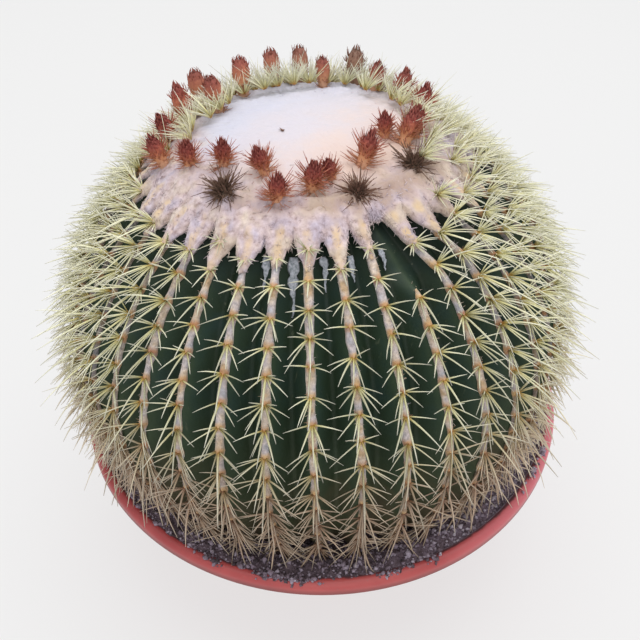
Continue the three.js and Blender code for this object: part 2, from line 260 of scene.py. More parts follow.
def with_drain_holes(piece):
    """Cuts the drain holes and leaves the result in the piece's own mesh."""
    cut = bmesh.new()
    for index in range(DRAIN_HOLES):
        angle = 2 * math.pi * index / DRAIN_HOLES
        middle = Matrix.Translation((DRAIN_CIRCLE_RADIUS * math.cos(angle),
                                     DRAIN_CIRCLE_RADIUS * math.sin(angle), 0))
        bmesh.ops.create_cone(cut, cap_ends=True, segments=32, radius1=DRAIN_RADIUS,
                              radius2=DRAIN_RADIUS, depth=4 * FLOOR_THICKNESS, matrix=middle)
    cutter_mesh = bpy.data.meshes.new("drain_cutter")
    cut.to_mesh(cutter_mesh)
    cut.free()
    cutter = bpy.data.objects.new("drain_cutter", cutter_mesh)
    bpy.context.scene.collection.objects.link(cutter)
    modifier = piece.modifiers.new("drain_holes", "BOOLEAN")
    modifier.object = cutter
    modifier.operation = "DIFFERENCE"
    graph = bpy.context.evaluated_depsgraph_get()
    piece.data = bpy.data.meshes.new_from_object(piece.evaluated_get(graph))
    piece.modifiers.clear()
    bpy.data.objects.remove(cutter)
    piece.data.set_sharp_from_angle(angle=math.radians(SHARP_ANGLE))


bowl_points, bowl_faces = turned(bowl_outline(), BOWL_SIDES)
bowl = add_mesh("planting_bowl", bowl_points, bowl_faces, [moulded_polypropylene()],
                sharp=SHARP_ANGLE)
with_drain_holes(bowl)
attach(bowl, "root")
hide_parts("bowl")


# ---- Plant body ----------------------------------------------------------------------------
# One ribbed globe, grown as one piece: a waxy, dark blue-green skin over firm flesh, corky
# and brown where it ages near the soil, with its base and root stock buried. It leans a
# little back and to the left, so it is shaped about its own axis and then set in place.

MOUTH_PLANE = 143 * MM
LEAN_BACK = math.radians(5)
LEAN_LEFT = math.radians(1.7)
PLANT = (Matrix.Translation((-1.7 * MM, -8 * MM, MOUTH_PLANE))
         @ Matrix.Rotation(-LEAN_BACK, 4, "X") @ Matrix.Rotation(-LEAN_LEFT, 4, "Y"))
RIBS = 38
PLANT_RADIUS = 188 * MM
WIDEST = 97 * MM
UPPER_HEIGHT = 166 * MM
UPPER_POWER = 1.81
LOWER_HEIGHT = 191 * MM
LOWER_POWER = 2.11
RIB_DEPTH_SHARE = 0.112
AREOLE_SWELLING = 0.9 * MM
SKIN_UNEVENNESS = 0.006
SHORT_RIB = 3
SHORT_RIB_TOP = 0.64
RIB_CLOSING = 0.85
AREOLE_PITCH = 18 * MM
FIRST_AREOLE_LEVEL = 0.745
# Levels run from -1, the lowest point of the globe, over 0, its widest, to 1, its top.
BURIED_LEVEL = -0.78
RIB_TOP_LEVEL = 0.865
CLOSED_UP_LEVEL = 0.86
PATH_TOP_LEVEL = 0.93
ROOT_DEPTH = -113 * MM
GROWING_POINT_HEIGHT = 240 * MM
# Radius and height of the rings below and above the ribs.
ROOT_STOCK = [(26 * MM, -112 * MM), (64 * MM, -78 * MM)]
GROWING_POINT = [(60 * MM, 243 * MM), (20 * MM, 241 * MM)]
COLUMNS_PER_RIB = 12
areole_phase = np.random.default_rng(38).uniform(0, AREOLE_PITCH, RIBS)


def crest(level):
    """Radius and height of the crest line at a level."""
    level = np.asarray(level, dtype=float)
    power = np.where(level > 0, UPPER_POWER, LOWER_POWER)
    reach = np.where(level > 0, UPPER_HEIGHT, LOWER_HEIGHT)
    radius = PLANT_RADIUS * np.sqrt(1 - np.abs(level) ** power)
    return radius, WIDEST + reach * level


path_levels = np.linspace(PATH_TOP_LEVEL, BURIED_LEVEL, 1800)
path_radius, path_height = crest(path_levels)
path_steps = np.hypot(np.diff(path_radius), np.diff(path_height))
path_length = np.concatenate([[0], np.cumsum(path_steps)])
path_length -= np.interp(-FIRST_AREOLE_LEVEL, -path_levels, path_length)


def level_at(distance):
    """The level that lies a distance down the crest from the first areole's level."""
    return np.interp(distance, path_length, path_levels)


def distance_at(level):
    """How far down the crest a level lies."""
    return np.interp(-np.asarray(level), -path_levels, path_length)


def smooth_step(low, high, value):
    """From 0 at low to 1 at high, which may lie below low."""
    share = np.clip((np.asarray(value, dtype=float) - low) / (high - low), 0, 1)
    return share * share * (3 - 2 * share)


def rib_fall(offset):
    """How far the skin has fallen from the crest, 0, to the valley, 1. A rib is sharp, with
    nearly straight sides."""
    return 1 - (1 - np.clip(np.abs(offset), 0, 1)) ** 1.25


def rib_depth(radius, level):
    """Ribs are shallow at the crown and flatten as they age near the soil."""
    return RIB_DEPTH_SHARE * radius * (1 - 0.3 * smooth_step(-0.25, -0.75, level))


def in_place(points):
    """Moves points from the plant's own frame to the object's."""
    turn = np.array(PLANT.to_3x3())
    return np.asarray(points) @ turn.T + np.array(PLANT.translation)


def around(radius, angle, height):
    """Points at a bearing from the front, round the plant's axis."""
    return np.column_stack([radius * np.sin(angle), -radius * np.cos(angle),
                            height + 0 * radius])


def rib_angle(position, level):
    """The bearing of a rib, or of a place between two. Above the short rib, the ribs on its
    right close up to fill its place."""
    beyond = (np.asarray(position, dtype=float) - SHORT_RIB + 1) % RIBS
    share = np.interp(beyond, [0, 2, 9], [0, 1, 0])
    closing = RIB_CLOSING * share * smooth_step(SHORT_RIB_TOP - 0.02, CLOSED_UP_LEVEL, level)
    return 2 * math.pi * (position - closing) / RIBS


def grid_faces(rows, columns):
    """Quads over rows of points that each close on themselves."""
    row = np.arange(rows - 1)[:, None] * columns
    column = np.arange(columns)[None, :]
    after = (column + 1) % columns
    faces = np.stack([row + column, row + after, row + columns + after, row + columns + column],
                     axis=-1)
    return faces.reshape(-1, 4).tolist()


def fan_faces(middle, first, columns):
    """Triangles that close a row of points on a middle one."""
    return [[middle, first + place, first + (place + 1) % columns] for place in range(columns)]


def body_mesh():
    """Rows of points from the root stock up to the growing point under the wool."""
    columns = RIBS * COLUMNS_PER_RIB
    column = np.arange(columns) + COLUMNS_PER_RIB // 2
    rib = (column // COLUMNS_PER_RIB) % RIBS
    offset = (column % COLUMNS_PER_RIB) / (COLUMNS_PER_RIB / 2) - 1
    levels = np.concatenate([np.linspace(BURIED_LEVEL, -0.6, 5),
                             np.linspace(-0.58, RIB_TOP_LEVEL, 126)])
    rows = [(*ring, 0, -1) for ring in ROOT_STOCK]
    rows += [(*crest(level), 1, level) for level in levels]
    rows += [(*ring, 0, 1) for ring in GROWING_POINT]
    points = []
    for radius, height, ribbed, level in rows:
        merged = smooth_step(SHORT_RIB_TOP - 0.03, SHORT_RIB_TOP + 0.03, level)
        fall = rib_fall(offset)
        fall = np.where(rib == SHORT_RIB, fall + (1 - fall) * merged, fall)
        from_areole = (distance_at(level) - areole_phase[rib]) % AREOLE_PITCH
        near = np.cos(math.pi * from_areole / AREOLE_PITCH) ** 2
        swelling = AREOLE_SWELLING * near * np.exp(-(offset / 0.35) ** 2)
        reach = radius - ribbed * (rib_depth(radius, level) * fall - swelling)
        angle = rib_angle(np.arange(columns) / COLUMNS_PER_RIB, level)
        points.append(around(reach, angle, height))
    points = np.vstack(points)
    unevenness = [noise.noise(Vector(point) / (24 * MM)) for point in points]
    points[:, :2] *= 1 + SKIN_UNEVENNESS * np.array(unevenness)[:, None]
    faces = grid_faces(len(rows), columns)
    faces += fan_faces(len(points), 0, columns)
    faces += fan_faces(len(points) + 1, (len(rows) - 1) * columns, columns)
    points = np.vstack([points, [0, 0, ROOT_DEPTH], [0, 0, GROWING_POINT_HEIGHT]])
    hollow = np.concatenate([np.tile(rib_fall(offset), len(rows)), [0, 0]])
    return in_place(points), faces, {"hollow": hollow}


def waxy_skin():
    """Living cactus skin: a wax bloom over dark blue-green flesh. Valleys are painted darker
    and greener, a painted shade, and so is the skin just under the wool's edge; fine pale
    pores cover it, and scars and cork brown it towards the soil."""
    material, tree, shader = new_material("waxy_cactus_skin",
                                          {"IOR": 1.45, "Specular IOR Level": 0.3})
    place = add_node(tree, "TexCoord").outputs["Object"]
    hollow = add_node(tree, "Attribute", attribute_name="hollow").outputs["Fac"]
    # Painted shade: the skin is coloured darker towards the bottom of each valley.
    flesh_and_valley_shade = add_node(
        tree, "ValToRGB", {"Fac": hollow},
        stops=[(0.0, "#46573f"), (1.0, "#22301f"), (0.45, "#2f4132")])
    clouds = add_node(
        tree, "TexNoise",
        {"Vector": place, "Scale": 1 / (22 * MM), "Detail": 5.0, "Roughness": 0.6})
    bluish = add_node(
        tree, "MapRange", {"Value": clouds, "From Min": 0.45, "From Max": 0.7, "To Max": 0.4})
    skin = add_node(tree, "MixRGB", {"Fac": bluish, "Color1": flesh_and_valley_shade, "Color2": "#2a4246"})
    axes = add_node(tree, "SeparateXYZ", {"Vector": place})
    low = add_node(
        tree, "MapRange",
        {"Value": axes.outputs["Z"], "From Min": 300 * MM, "From Max": 150 * MM})
    ragged = add_node(tree, "Math", {0: low, 1: clouds}, operation="MULTIPLY")
    cork = add_node(
        tree, "ValToRGB", {"Fac": ragged}, stops=[(0.2, "#404c33"), (0.55, "#5f5341")])
    spread = add_node(tree, "MapRange", {"Value": ragged, "From Min": 0.03, "From Max": 0.3})
    aged = add_node(tree, "MixRGB", {"Fac": spread, "Color1": skin, "Color2": cork})
    # Painted shade: the skin turns near-black just under the overhanging wool.
    wool_overhang_shade = add_node(
        tree, "MapRange",
        {"Value": axes.outputs["Z"], "From Min": 335 * MM, "From Max": 375 * MM,
         "To Max": 0.6})
    skin_and_overhang_shade = add_node(tree, "MixRGB", {"Fac": wool_overhang_shade, "Color1": aged, "Color2": "#141e17"})
    stretch = add_node(tree, "Mapping", {"Vector": place, "Scale": (1, 1, 0.12)})
    scars = add_node(
        tree, "TexNoise", {"Vector": stretch, "Scale": 1 / (3.5 * MM), "Detail": 3.0})
    scarred = add_node(
        tree, "ValToRGB", {"Fac": scars},
        stops=[(0.66, (0, 0, 0, 1)), (0.8, (0.5, 0.5, 0.5, 1))])
    streaked = add_node(tree, "MixRGB", {"Fac": scarred, "Color1": skin_and_overhang_shade, "Color2": "#6f7560"})
    join(tree, streaked, shader, "Base Color")
    pores = add_node(tree, "TexVoronoi", {"Vector": place, "Scale": 1 / (1.1 * MM)})
    gloss = add_node(tree, "MapRange", {"Value": ragged, "To Min": 0.58, "To Max": 0.85})
    join(tree, gloss, shader, "Roughness")
    bump = add_node(tree, "Bump", {"Height": pores, "Strength": 0.25, "Distance": 0.2 * MM})
    dents = add_node(
        tree, "Bump", {"Height": scars, "Strength": 0.3, "Distance": 0.8 * MM, "Normal": bump})
    join(tree, dents, shader, "Normal")
    return material


body_points, body_faces, body_attributes = body_mesh()
body = add_mesh("ribbed_body", body_points, body_faces, [waxy_skin()],
                attributes=body_attributes)
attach(body, "root")
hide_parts("cactus_body")


# ---- Soil ----------------------------------------------------------------------------------
# Gritty cactus soil, shovelled in round the plant and left loose: grey-brown crumbs of loam,
# grit and a little perlite, heaped unevenly against the bowl's wall, with a few clods on the
# lip.

SOIL_LEVEL = 140 * MM
SOIL_COLUMNS = 360
SOIL_ROWS = 44
SOIL_GAP = 0.3 * MM
SOIL_EDGE = 194 * MM
SOIL_INNER_RADIUS = 128 * MM
# Radius and height of the rings against the buried root stock.
ROOT_HOLE = [(60 * MM, 62 * MM), (24 * MM, FLOOR_THICKNESS + SOIL_GAP)]
SOIL_HEAP = 10.5 * MM
CRUMBS = 10800
CRUMB_SIZE = 1.35 * MM
LARGEST_CRUMB = 3.4 * MM
CLOD_SIZE = 1.2 * MM
# Bearing from the front in degrees and number of crumbs of each clod on the lip.
LIP_CLODS = [(-24, 24), (-12, 30), (-7, 70), (-4, 40), (15, 40), (24, 22), (60, 30), (66, 26)]


def soil_height(x, y):
    """The loose surface: heaps a hand wide, lumps a finger wide and grit. It is heaped
    against the wall, but has settled on the right."""
    heaps = noise.noise(Vector((x, y, 3.0)) / (70 * MM)) * 2.0 * MM
    lumps = noise.fractal(Vector((x, y, 7.0)) / (8 * MM), 0.75, 2.2, 4) * 1.7 * MM
    heaped = smooth_step(150 * MM, 182 * MM, math.hypot(x, y)) * SOIL_HEAP
    bearing = math.degrees(math.atan2(x, -y))
    settled = smooth_step(18, 40, bearing) * smooth_step(150, 110, bearing)
    return SOIL_LEVEL + heaped * (1 - 0.5 * settled) + heaps + lumps


def soil_mesh():
    """A ring of soil: the side against the bowl, the upper surface and the side against the
    plant's buried part."""
    wall = wall_curve(WALL_THICKNESS + SOIL_GAP, FLOOR_THICKNESS + SOIL_GAP, SKIRT_BOTTOM)
    over_lip = arc(MOUTH_RADIUS - LIP_RADIUS, BOWL_TOP - LIP_RADIUS, LIP_RADIUS + SOIL_GAP,
                   180, 135, 3)
    rows = [*wall[::3], *over_lip]
    rows += [(radius, None) for radius in np.linspace(SOIL_EDGE, SOIL_INNER_RADIUS, SOIL_ROWS)]
    rows += ROOT_HOLE
    points = []
    for radius, height in rows:
        for angle in 2 * math.pi * np.arange(SOIL_COLUMNS) / SOIL_COLUMNS:
            x, y = radius * math.cos(angle), radius * math.sin(angle)
            points.append((x, y, soil_height(x, y) if height is None else height))
    faces = grid_faces(len(rows), SOIL_COLUMNS)
    last = (len(rows) - 1) * SOIL_COLUMNS
    for place in range(SOIL_COLUMNS):
        after = (place + 1) % SOIL_COLUMNS
        faces.append([last + place, last + after, after, place])
    return points, faces


def crumb_shapes(random, count=10):
    """Unit lumps with six uneven corners, to be scaled and turned."""
    corners = np.array([(1, 0, 0), (0, 1, 0), (-1, 0, 0), (0, -1, 0), (0, 0, 1), (0, 0, -1)])
    faces = [(place, (place + 1) % 4, 4) for place in range(4)]
    faces += [((place + 1) % 4, place, 5) for place in range(4)]
    shapes = []
    for _ in range(count):
        spots = corners * random.uniform(0.75, 1.3, (6, 1)) + random.normal(0, 0.18, (6, 3))
        shapes.append((spots * random.uniform(0.7, 1.15, 3), faces))
    return shapes


def random_turn(random):
    """A random rotation as a 3 by 3 array."""
    axis = Vector(random.normal(size=3)).normalized()
    return np.array(Matrix.Rotation(random.uniform(0, 2 * math.pi), 3, axis))


def joined(parts):
    """Parts as one mesh. Each part is its points, its faces and its columns of numbers, which
    hold one number a point, or one for the whole part."""
    faces, first = [], 0
    for points, sheets, *_ in parts:
        faces += [[first + place for place in sheet] for sheet in sheets]
        first += len(points)
    columns = [np.concatenate([np.broadcast_to(part[index], len(part[0])) for part in parts])
               for index in range(2, len(parts[0]))]
    return np.vstack([part[0] for part in parts]), faces, *columns


def scatter(shapes, spots, sizes, random):
    """One lump of the given size at each spot: points, faces and one tone a point."""
    parts = []
    for spot, size in zip(spots, sizes):
        shape, faces = shapes[random.integers(len(shapes))]
        parts.append((shape @ random_turn(random).T * size + spot, faces, random.uniform()))
    return joined(parts)


def crumb_spots(random):
    """Where the crumbs lie and their sizes: over the visible ring, with the clods on the lip."""
    spots, sizes = [], []
    edge = SOIL_EDGE - 0.5 * MM
    while len(spots) < CRUMBS:
        angle = random.uniform(0, 2 * math.pi)
        radius = math.sqrt(random.uniform((140 * MM) ** 2, edge ** 2))
        x, y = radius * math.cos(angle), radius * math.sin(angle)
        size = min(CRUMB_SIZE * random.lognormal(0, 0.38), LARGEST_CRUMB)
        spots.append((x, y, soil_height(x, y) + 0.25 * size))
        sizes.append(size)
    for bearing, amount in LIP_CLODS:
        for _ in range(amount):
            angle = math.radians(bearing + random.normal() * 1.6 - 90)
            radius = edge + abs(random.normal()) * 2 * MM
            size = CLOD_SIZE * random.lognormal(0, 0.4)
            height = BOWL_TOP - abs(radius - MOUTH_RADIUS + LIP_RADIUS) * 0.35
            height += random.uniform(0, 2) * MM
            spots.append((radius * math.cos(angle), radius * math.sin(angle), height))
            sizes.append(size)
    return spots, sizes


def gritty_soil():
    """Loam, grit and perlite. Each crumb has its own tone, from near-black humus through
    grey-brown to pale stone, and all of them are matt."""
    material, tree, shader = new_material("gritty_cactus_soil", {"Roughness": 0.95})
    place = add_node(tree, "TexCoord").outputs["Object"]
    # The tone holds each crumb's own tone and painted light towards the right.
    tone_and_painted_shading = add_node(tree, "Attribute", attribute_name="tone_and_painted_shading").outputs["Fac"]
    fine = add_node(
        tree, "TexNoise",
        {"Vector": place, "Scale": 1 / (1.6 * MM), "Detail": 6.0, "Roughness": 0.7})
    mixed = add_node(tree, "Math", {0: tone_and_painted_shading, 1: fine}, operation="ADD")
    half = add_node(tree, "Math", {0: mixed, 1: 0.5}, operation="MULTIPLY")
    colour = add_node(
        tree, "ValToRGB", {"Fac": half},
        stops=[(0.2, "#2e262a"), (0.9, "#d6cdd8"), (0.38, "#62535b"), (0.56, "#918190"),
               (0.74, "#b3a7b6")])
    join(tree, colour, shader, "Base Color")
    bump = add_node(tree, "Bump", {"Height": fine, "Strength": 0.6, "Distance": 0.6 * MM})
    join(tree, bump, shader, "Normal")
    return material


soil_random = np.random.default_rng(7)
loose_points, loose_faces = soil_mesh()
loose_tones = [0.22 + 0.3 * noise.noise(Vector(point) / (5 * MM)) for point in loose_points]
crumbs = scatter(crumb_shapes(soil_random), *crumb_spots(soil_random), soil_random)
soil_points, soil_faces, soil_tones = joined([(loose_points, loose_faces, loose_tones), crumbs])
# Painted light: the soil's tone is raised towards the right, where the light falls.
soil_right_light = 0.3 * smooth_step(20 * MM, 150 * MM, soil_points[:, 0])
soil = add_mesh("gritty_soil", soil_points, soil_faces, [gritty_soil()],
                attributes={"tone_and_painted_shading": soil_tones + soil_right_light})
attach(soil, "root")
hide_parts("soil")


# ---- Spine rows ----------------------------------------------------------------------------
# Along the crest of every rib runs a strip of grey felt that joins the areoles, the orange
# pads that spines grow from. Spines are hard, curved needles, yellow when young and tan when
# old: six or seven at an areole in front, and twenty to thirty on the crowded sides.

STRIP_TOP_LEVEL = 0.9
STRIP_BOTTOM_LEVEL = -0.6
STRIP_STEP = 2.6 * MM
LOWEST_AREOLE_LEVEL = -0.52
FELT_HEIGHT = 1.5 * MM
# A spine's turn down from the horizontal, its length in mm, its lift off the skin in degrees
# and how often it is there.
RADIAL_SPINES = [(-34, 14, 38, 0.45), (0, 21, 31, 0.9), (32, 22, 31, 0.85), (60, 21, 36, 0.45)]
SIDE_CENTRAL = (50, 28, 46, 0.2)
MAIN_CENTRAL = (90, 36, 44)
FLANK_CENTRAL = (14, 35, 50)
# The ranges of the same three measures, and how many stand on a side or in the wool.
BRISTLES = ((-50, 95), (16, 27), (30, 65))
BRISTLES_A_SIDE = 3
BASE_SPINES = ((-30, 85), (20, 35), (12, 60))
BASE_SPINES_A_SIDE = 4
CROWN_SPINES = ((-80, 100), (18, 38), (30, 64))
CROWN_SPINE_COUNT = 7
SIDE_DENSITY = 0.95
# Half thicknesses in mm.
GIRTH = {"radial": 0.72, "crowding": 0.62, "side_central": 0.8, "main_central": 0.85,
         "flank_central": 0.77, "bristle": 0.58, "base": 0.66, "crown": 0.56}
# For spines of more than a half thickness: how many sides and how many lengths they have.
SPINE_BUILDS = [(0.75, 4, 5), (0.7, 4, 3), (0, 3, 3)]
# Ribs whose topmost areole the flower heads have crowded out.
FLOWERED_RIBS = range(11, 17)
HAIRS_PER_AREOLE = 14
CREST_STEP = 0.5 * MM


def unit(vectors):
    """Vectors brought to length one."""
    return vectors / np.linalg.norm(vectors, axis=-1, keepdims=True)


def crest_points(rib, distance):
    """Places on a rib's crest, in the plant's frame."""
    level = level_at(distance)
    radius, height = crest(level)
    return around(radius, rib_angle(rib, level), height)


def crest_frame(rib, distance):
    """Places on a rib's crest, in the plant's frame: the points, and the directions out of
    the skin, down the crest and across it."""
    distance = np.atleast_1d(np.asarray(distance, dtype=float))
    points = crest_points(rib, distance)
    down = unit(crest_points(rib, distance + CREST_STEP)
                - crest_points(rib, distance - CREST_STEP))
    sideways = unit(np.column_stack([-points[:, 1], points[:, 0], 0 * points[:, 0]]))
    out = unit(np.cross(down, sideways))
    return points, out, down, np.cross(out, down)


def centre_lines(root, aim, bend, length, along):
    """Lines that leave their roots along aim and drift towards bend, and their headings."""
    centre = root[:, None] + length[:, None, None] * (
        aim[:, None] * along[:, None] + bend[:, None] * (along ** 2)[:, None])
    return centre, unit(aim[:, None] + 2 * bend[:, None] * along[:, None])


def tube_faces(count, steps, sides):
    """The walls and the ends of like tubes whose points follow one another."""
    caps = [list(range(sides))[::-1], [steps * sides + place for place in range(sides)]]
    first = (np.arange(count) * sides * (steps + 1))[:, None, None]
    walls = (first + np.array(grid_faces(steps + 1, sides))[None]).reshape(-1, 4).tolist()
    ends = (first + np.array(caps)[None]).reshape(-1, sides).tolist()
    return walls + ends


def needles(root, aim, bend, length, thickness, sides, steps, tip=0.22):
    """Curved needles that taper to their tips: points, faces and, for each point, how far
    along its needle it lies."""
    along = np.linspace(0, 1, steps + 1)
    centre, heading = centre_lines(root, aim, bend, length, along)
    reference = np.where(np.abs(heading[:, :1, 2:]) < 0.8, [0, 0, 1.0], [1.0, 0, 0])
    side = unit(np.cross(heading, reference))
    other = np.cross(heading, side)
    turn = 2 * math.pi * np.arange(sides) / sides
    ring = (np.cos(turn)[:, None] * side[:, :, None] + np.sin(turn)[:, None] * other[:, :, None])
    girth = thickness[:, None] * (1 - (1 - tip) * along ** 1.8)
    points = centre[:, :, None] + girth[:, :, None, None] * ring
    return (points.reshape(-1, 3), tube_faces(len(root), steps, sides),
            np.tile(np.repeat(along, sides), len(root)))


def resting_height(points):
    """The lowest that a spine may pass: the soil, and further out the bowl's lip."""
    reach = np.hypot(points[..., 0], points[..., 1])
    over_lip = smooth_step(MOUTH_RADIUS - 20 * MM, MOUTH_RADIUS - 12 * MM, reach)
    beyond = reach > MOUTH_RADIUS + 2 * MM
    floor = SOIL_LEVEL + 1.5 * MM + over_lip * (BOWL_TOP - SOIL_LEVEL)
    return np.where(beyond, BOWL_TOP - 12 * MM, floor)


def apart(bearing, other=0):
    """The angle between two bearings, or between one and the front, in degrees."""
    return np.abs((bearing - other + 180) % 360 - 180)


def bareness(bearing):
    """How far the wool has buried the young spines: wholly at the front, hardly behind."""
    return smooth_step(92, 55, apart(bearing, -6))


def crowding(bearing):
    """How dense the spines are: more of them grow on the sides and behind."""
    return smooth_step(36, 62, apart(bearing))


def areoles_of(rib, random):
    """Distances of a rib's areoles down its crest, the youngest at the top in the wool."""
    buried = 3.0 * (1 - bareness(360 * rib / RIBS))
    start = areole_phase[rib] - (2 + int(buried)) * AREOLE_PITCH
    if rib in FLOWERED_RIBS:
        start += AREOLE_PITCH
    if rib == SHORT_RIB:
        start = distance_at(SHORT_RIB_TOP - 0.03)
    distances = np.arange(start, distance_at(LOWEST_AREOLE_LEVEL), AREOLE_PITCH)
    return distances + random.normal(0, 0.6 * MM, len(distances))


def drawn(ranges, random):
    """A turn, a length and a lift, each from its range."""
    return [random.uniform(low, high) for low, high in ranges]


def habit(rib, level):
    """How spines grow at a level of a rib. All but the bearing run from 0 to 1."""
    bearing = (360 * rib / RIBS + 180) % 360 - 180
    aside = abs(bearing)
    upper = smooth_step(0.25, 0.6, level)
    lowest = -0.55 if bearing > 0 else -0.4
    return SimpleNamespace(
        bearing=bearing,
        old=smooth_step(0.32, -0.3, level),
        young=smooth_step(0.6, 0.78, level),
        in_wool=smooth_step(0.76, 0.80, level),
        open_side=1 - bareness(bearing),
        upper=upper,
        grown=smooth_step(0.5, 0.1, level),
        crowded=crowding(aside + 11 * upper),
        leftward=smooth_step(8, -25, bearing),
        edge_on=smooth_step(58, 74, aside),
        flank=(smooth_step(26, 42, aside) * smooth_step(92, 76, aside)
               * (smooth_step(lowest, lowest + 0.3, level) * smooth_step(0.72, 0.5, level))))


def spine_plan(here, random):
    """The spines of one areole: turn, length, lift, side and girth of each."""
    plan = []
    for side in (-1, 1):
        for turn, length, lift, share in RADIAL_SPINES:
            if random.uniform() < share:
                plan.append((turn, length, lift, side, GIRTH["radial"]))
            if random.uniform() < SIDE_DENSITY * here.crowded:
                plan.append((turn + 15, length * 1.28, lift + 10, side, GIRTH["crowding"]))
        turn, length, lift, share = SIDE_CENTRAL
        if random.uniform() < share:
            plan.append((turn, length, lift, side, GIRTH["side_central"]))
        for _ in range(BRISTLES_A_SIDE + int(3 * here.upper)):
            if random.uniform() < here.crowded * (1 - 0.4 * here.old):
                plan.append((*drawn(BRISTLES, random), side, GIRTH["bristle"]))
        for _ in range(BASE_SPINES_A_SIDE):
            if random.uniform() < here.old * (0.55 + 0.45 * here.leftward):
                plan.append((*drawn(BASE_SPINES, random), side, GIRTH["base"]))
    outward = 1 if here.bearing > 0 else -1
    turn, length, lift = MAIN_CENTRAL
    length *= (0.76 + 0.24 * max(here.old, 0.5 * here.crowded)
               + 0.38 * here.flank * (1 - 0.8 * here.edge_on))
    plan.append((turn - 14 * here.flank, length, lift + 5 * here.flank, outward,
                 GIRTH["main_central"] + 0.06 * here.flank))
    if random.uniform() < 0.85 * here.flank * (1 - here.edge_on):
        plan.append((*FLANK_CENTRAL, outward, GIRTH["flank_central"]))
    for _ in range(int(CROWN_SPINE_COUNT * here.in_wool)):
        plan.append((*drawn(CROWN_SPINES, random), random.choice((-1, 1)), GIRTH["crown"]))
    return plan


def spines_at(rib, distance, random):
    """Build, root, aim, bend, length, thickness, age and tone of every spine of an areole. The
    tone carries painted light and shade.
    """
    points, out, down, across = (part[0] for part in crest_frame(rib, distance))
    level = float(level_at(distance))
    here = habit(rib, level)
    if level > 0.785 and random.uniform() > here.open_side:
        return []
    right_side = smooth_step(45, 70, here.bearing)
    size = (0.84 + 0.16 * max(here.grown, here.crowded)) * (1 - 0.28 * here.old * right_side)
    size *= 1 - 0.45 * here.young * (1 - 0.6 * max(here.open_side, here.crowded))
    # Painted light: crowded spines and old ones on the right are coloured lighter. Painted shade:
    # spines in the wool behind are coloured darker.
    shade = 0.68 * here.crowded + 0.35 * here.old * smooth_step(20, 45, here.bearing)
    shade -= 0.4 * here.in_wool * smooth_step(100, 140, abs(here.bearing))
    rise = FELT_HEIGHT + here.in_wool * 4 * MM
    spines = []
    for turn, length, lift, side, girth in spine_plan(here, random):
        build = next(index for index, (least, *_) in enumerate(SPINE_BUILDS) if girth > least)
        turn += random.normal(0, 8 + 8 * here.old) + here.old * (90 - turn) * 0.28
        lift += random.normal(0, 7) - (20 - 16 * here.crowded) * here.old
        lift += 3 * here.crowded + 8 * here.in_wool
        turn, lift = math.radians(turn), math.radians(lift)
        aim = (math.cos(lift) * (side * math.cos(turn) * across + math.sin(turn) * down)
               + math.sin(lift) * out)
        sway = random.normal(0, 0.035, 3)
        bend = (0.1 if build else 0.2) * (down - 0.4 * out) + sway
        length *= MM * random.uniform(0.8, 1.12) * size
        thickness = girth * MM * random.uniform(0.85, 1.1) * (1 - 0.2 * here.in_wool)
        root = points + out * rise + across * side * 0.8 * MM * math.cos(turn)
        spines.append((build, root, aim, bend, length, thickness,
                       here.old * (1 - 0.3 * here.crowded), random.uniform() + shade))
    # Above the end of its rib an areole lies deep in the wool, and its spines don't show.
    return spines if distance + CREST_STEP > path_length[0] else []


def spine_mesh(spines):
    """The spines of one rib in the object's frame: points, faces, along, age and tone. Those
    that reach the soil or the lip are bent along it."""
    parts = []
    for build, (_, sides, steps) in enumerate(SPINE_BUILDS):
        chosen = [spine[1:] for spine in spines if spine[0] == build]
        if not chosen:
            continue
        root, aim, bend, length, thickness, age, tone_and_painted_shading = (np.array(part) for part in zip(*chosen))
        spots, sheets, along = needles(root, aim, bend, length, thickness, sides, steps)
        spots = in_place(spots)
        height, lowest = spots[:, 2], resting_height(spots)
        spots[:, 2] = np.where(height < lowest, lowest + 0.15 * (height - lowest), height)
        corners = sides * (steps + 1)
        parts.append((spots, sheets, along, np.repeat(age, corners), np.repeat(tone_and_painted_shading, corners)))
    return joined(parts)


def near_areole(distances, areoles, reach):
    """From 1 at an areole to 0 well away from it."""
    gap = np.abs(distances[:, None] - areoles[None]).min(axis=1)
    return np.exp(-(gap / reach) ** 2)


def strip_mesh(rib, areoles, random):
    """The felt strip: a low rounded ridge along the crest, swollen at each areole. Returns
    points, faces, nearness to an areole and age."""
    start = distance_at(SHORT_RIB_TOP if rib == SHORT_RIB else STRIP_TOP_LEVEL)
    distances = np.arange(start, distance_at(STRIP_BOTTOM_LEVEL), STRIP_STEP)
    points, out, _, across = crest_frame(rib, distances)
    near = near_areole(distances, areoles, 3.4 * MM)
    old = smooth_step(0.2, -0.3, level_at(distances))
    width = (2.7 - 0.9 * old + 0.5 * near) * MM * (1 - 0.25 * crowding(360 * rib / RIBS))
    knots = np.arange(distances[0], distances[-1] + 7 * MM, 7 * MM)
    width *= 1 + 0.16 * np.interp(distances, knots, random.normal(0, 1, len(knots)))
    height = FELT_HEIGHT * (1 - 0.3 * old + 0.6 * near)
    step = np.arange(len(distances))
    ends = np.minimum(1, 0.25 + np.minimum(step, step[::-1]) / 3)
    width, height = width * ends, height * ends
    section = np.linspace(-1, 1, 9)
    sideways = np.concatenate([section, [0.5, -0.5]])
    upward = np.concatenate([np.sqrt(1 - section ** 2), [-0.9, -0.9]])
    ring = len(sideways)
    grain = random.normal(0, 0.09, (len(distances), ring))
    lift = height[:, None] * upward * (1 + grain)
    sink = 0.10 * MM + (np.abs(sideways) * width[:, None]) ** 2 / (9 * MM)
    spots = (points[:, None] + across[:, None] * (sideways * width[:, None])[..., None]
             + out[:, None] * (lift - sink)[..., None])
    last = (len(distances) - 1) * ring
    faces = [face[::-1] for face in grid_faces(len(distances), ring)]
    faces += [list(range(ring))[::-1], list(range(last, last + ring))]
    return in_place(spots.reshape(-1, 3)), faces, np.repeat(near, ring), np.repeat(old, ring)


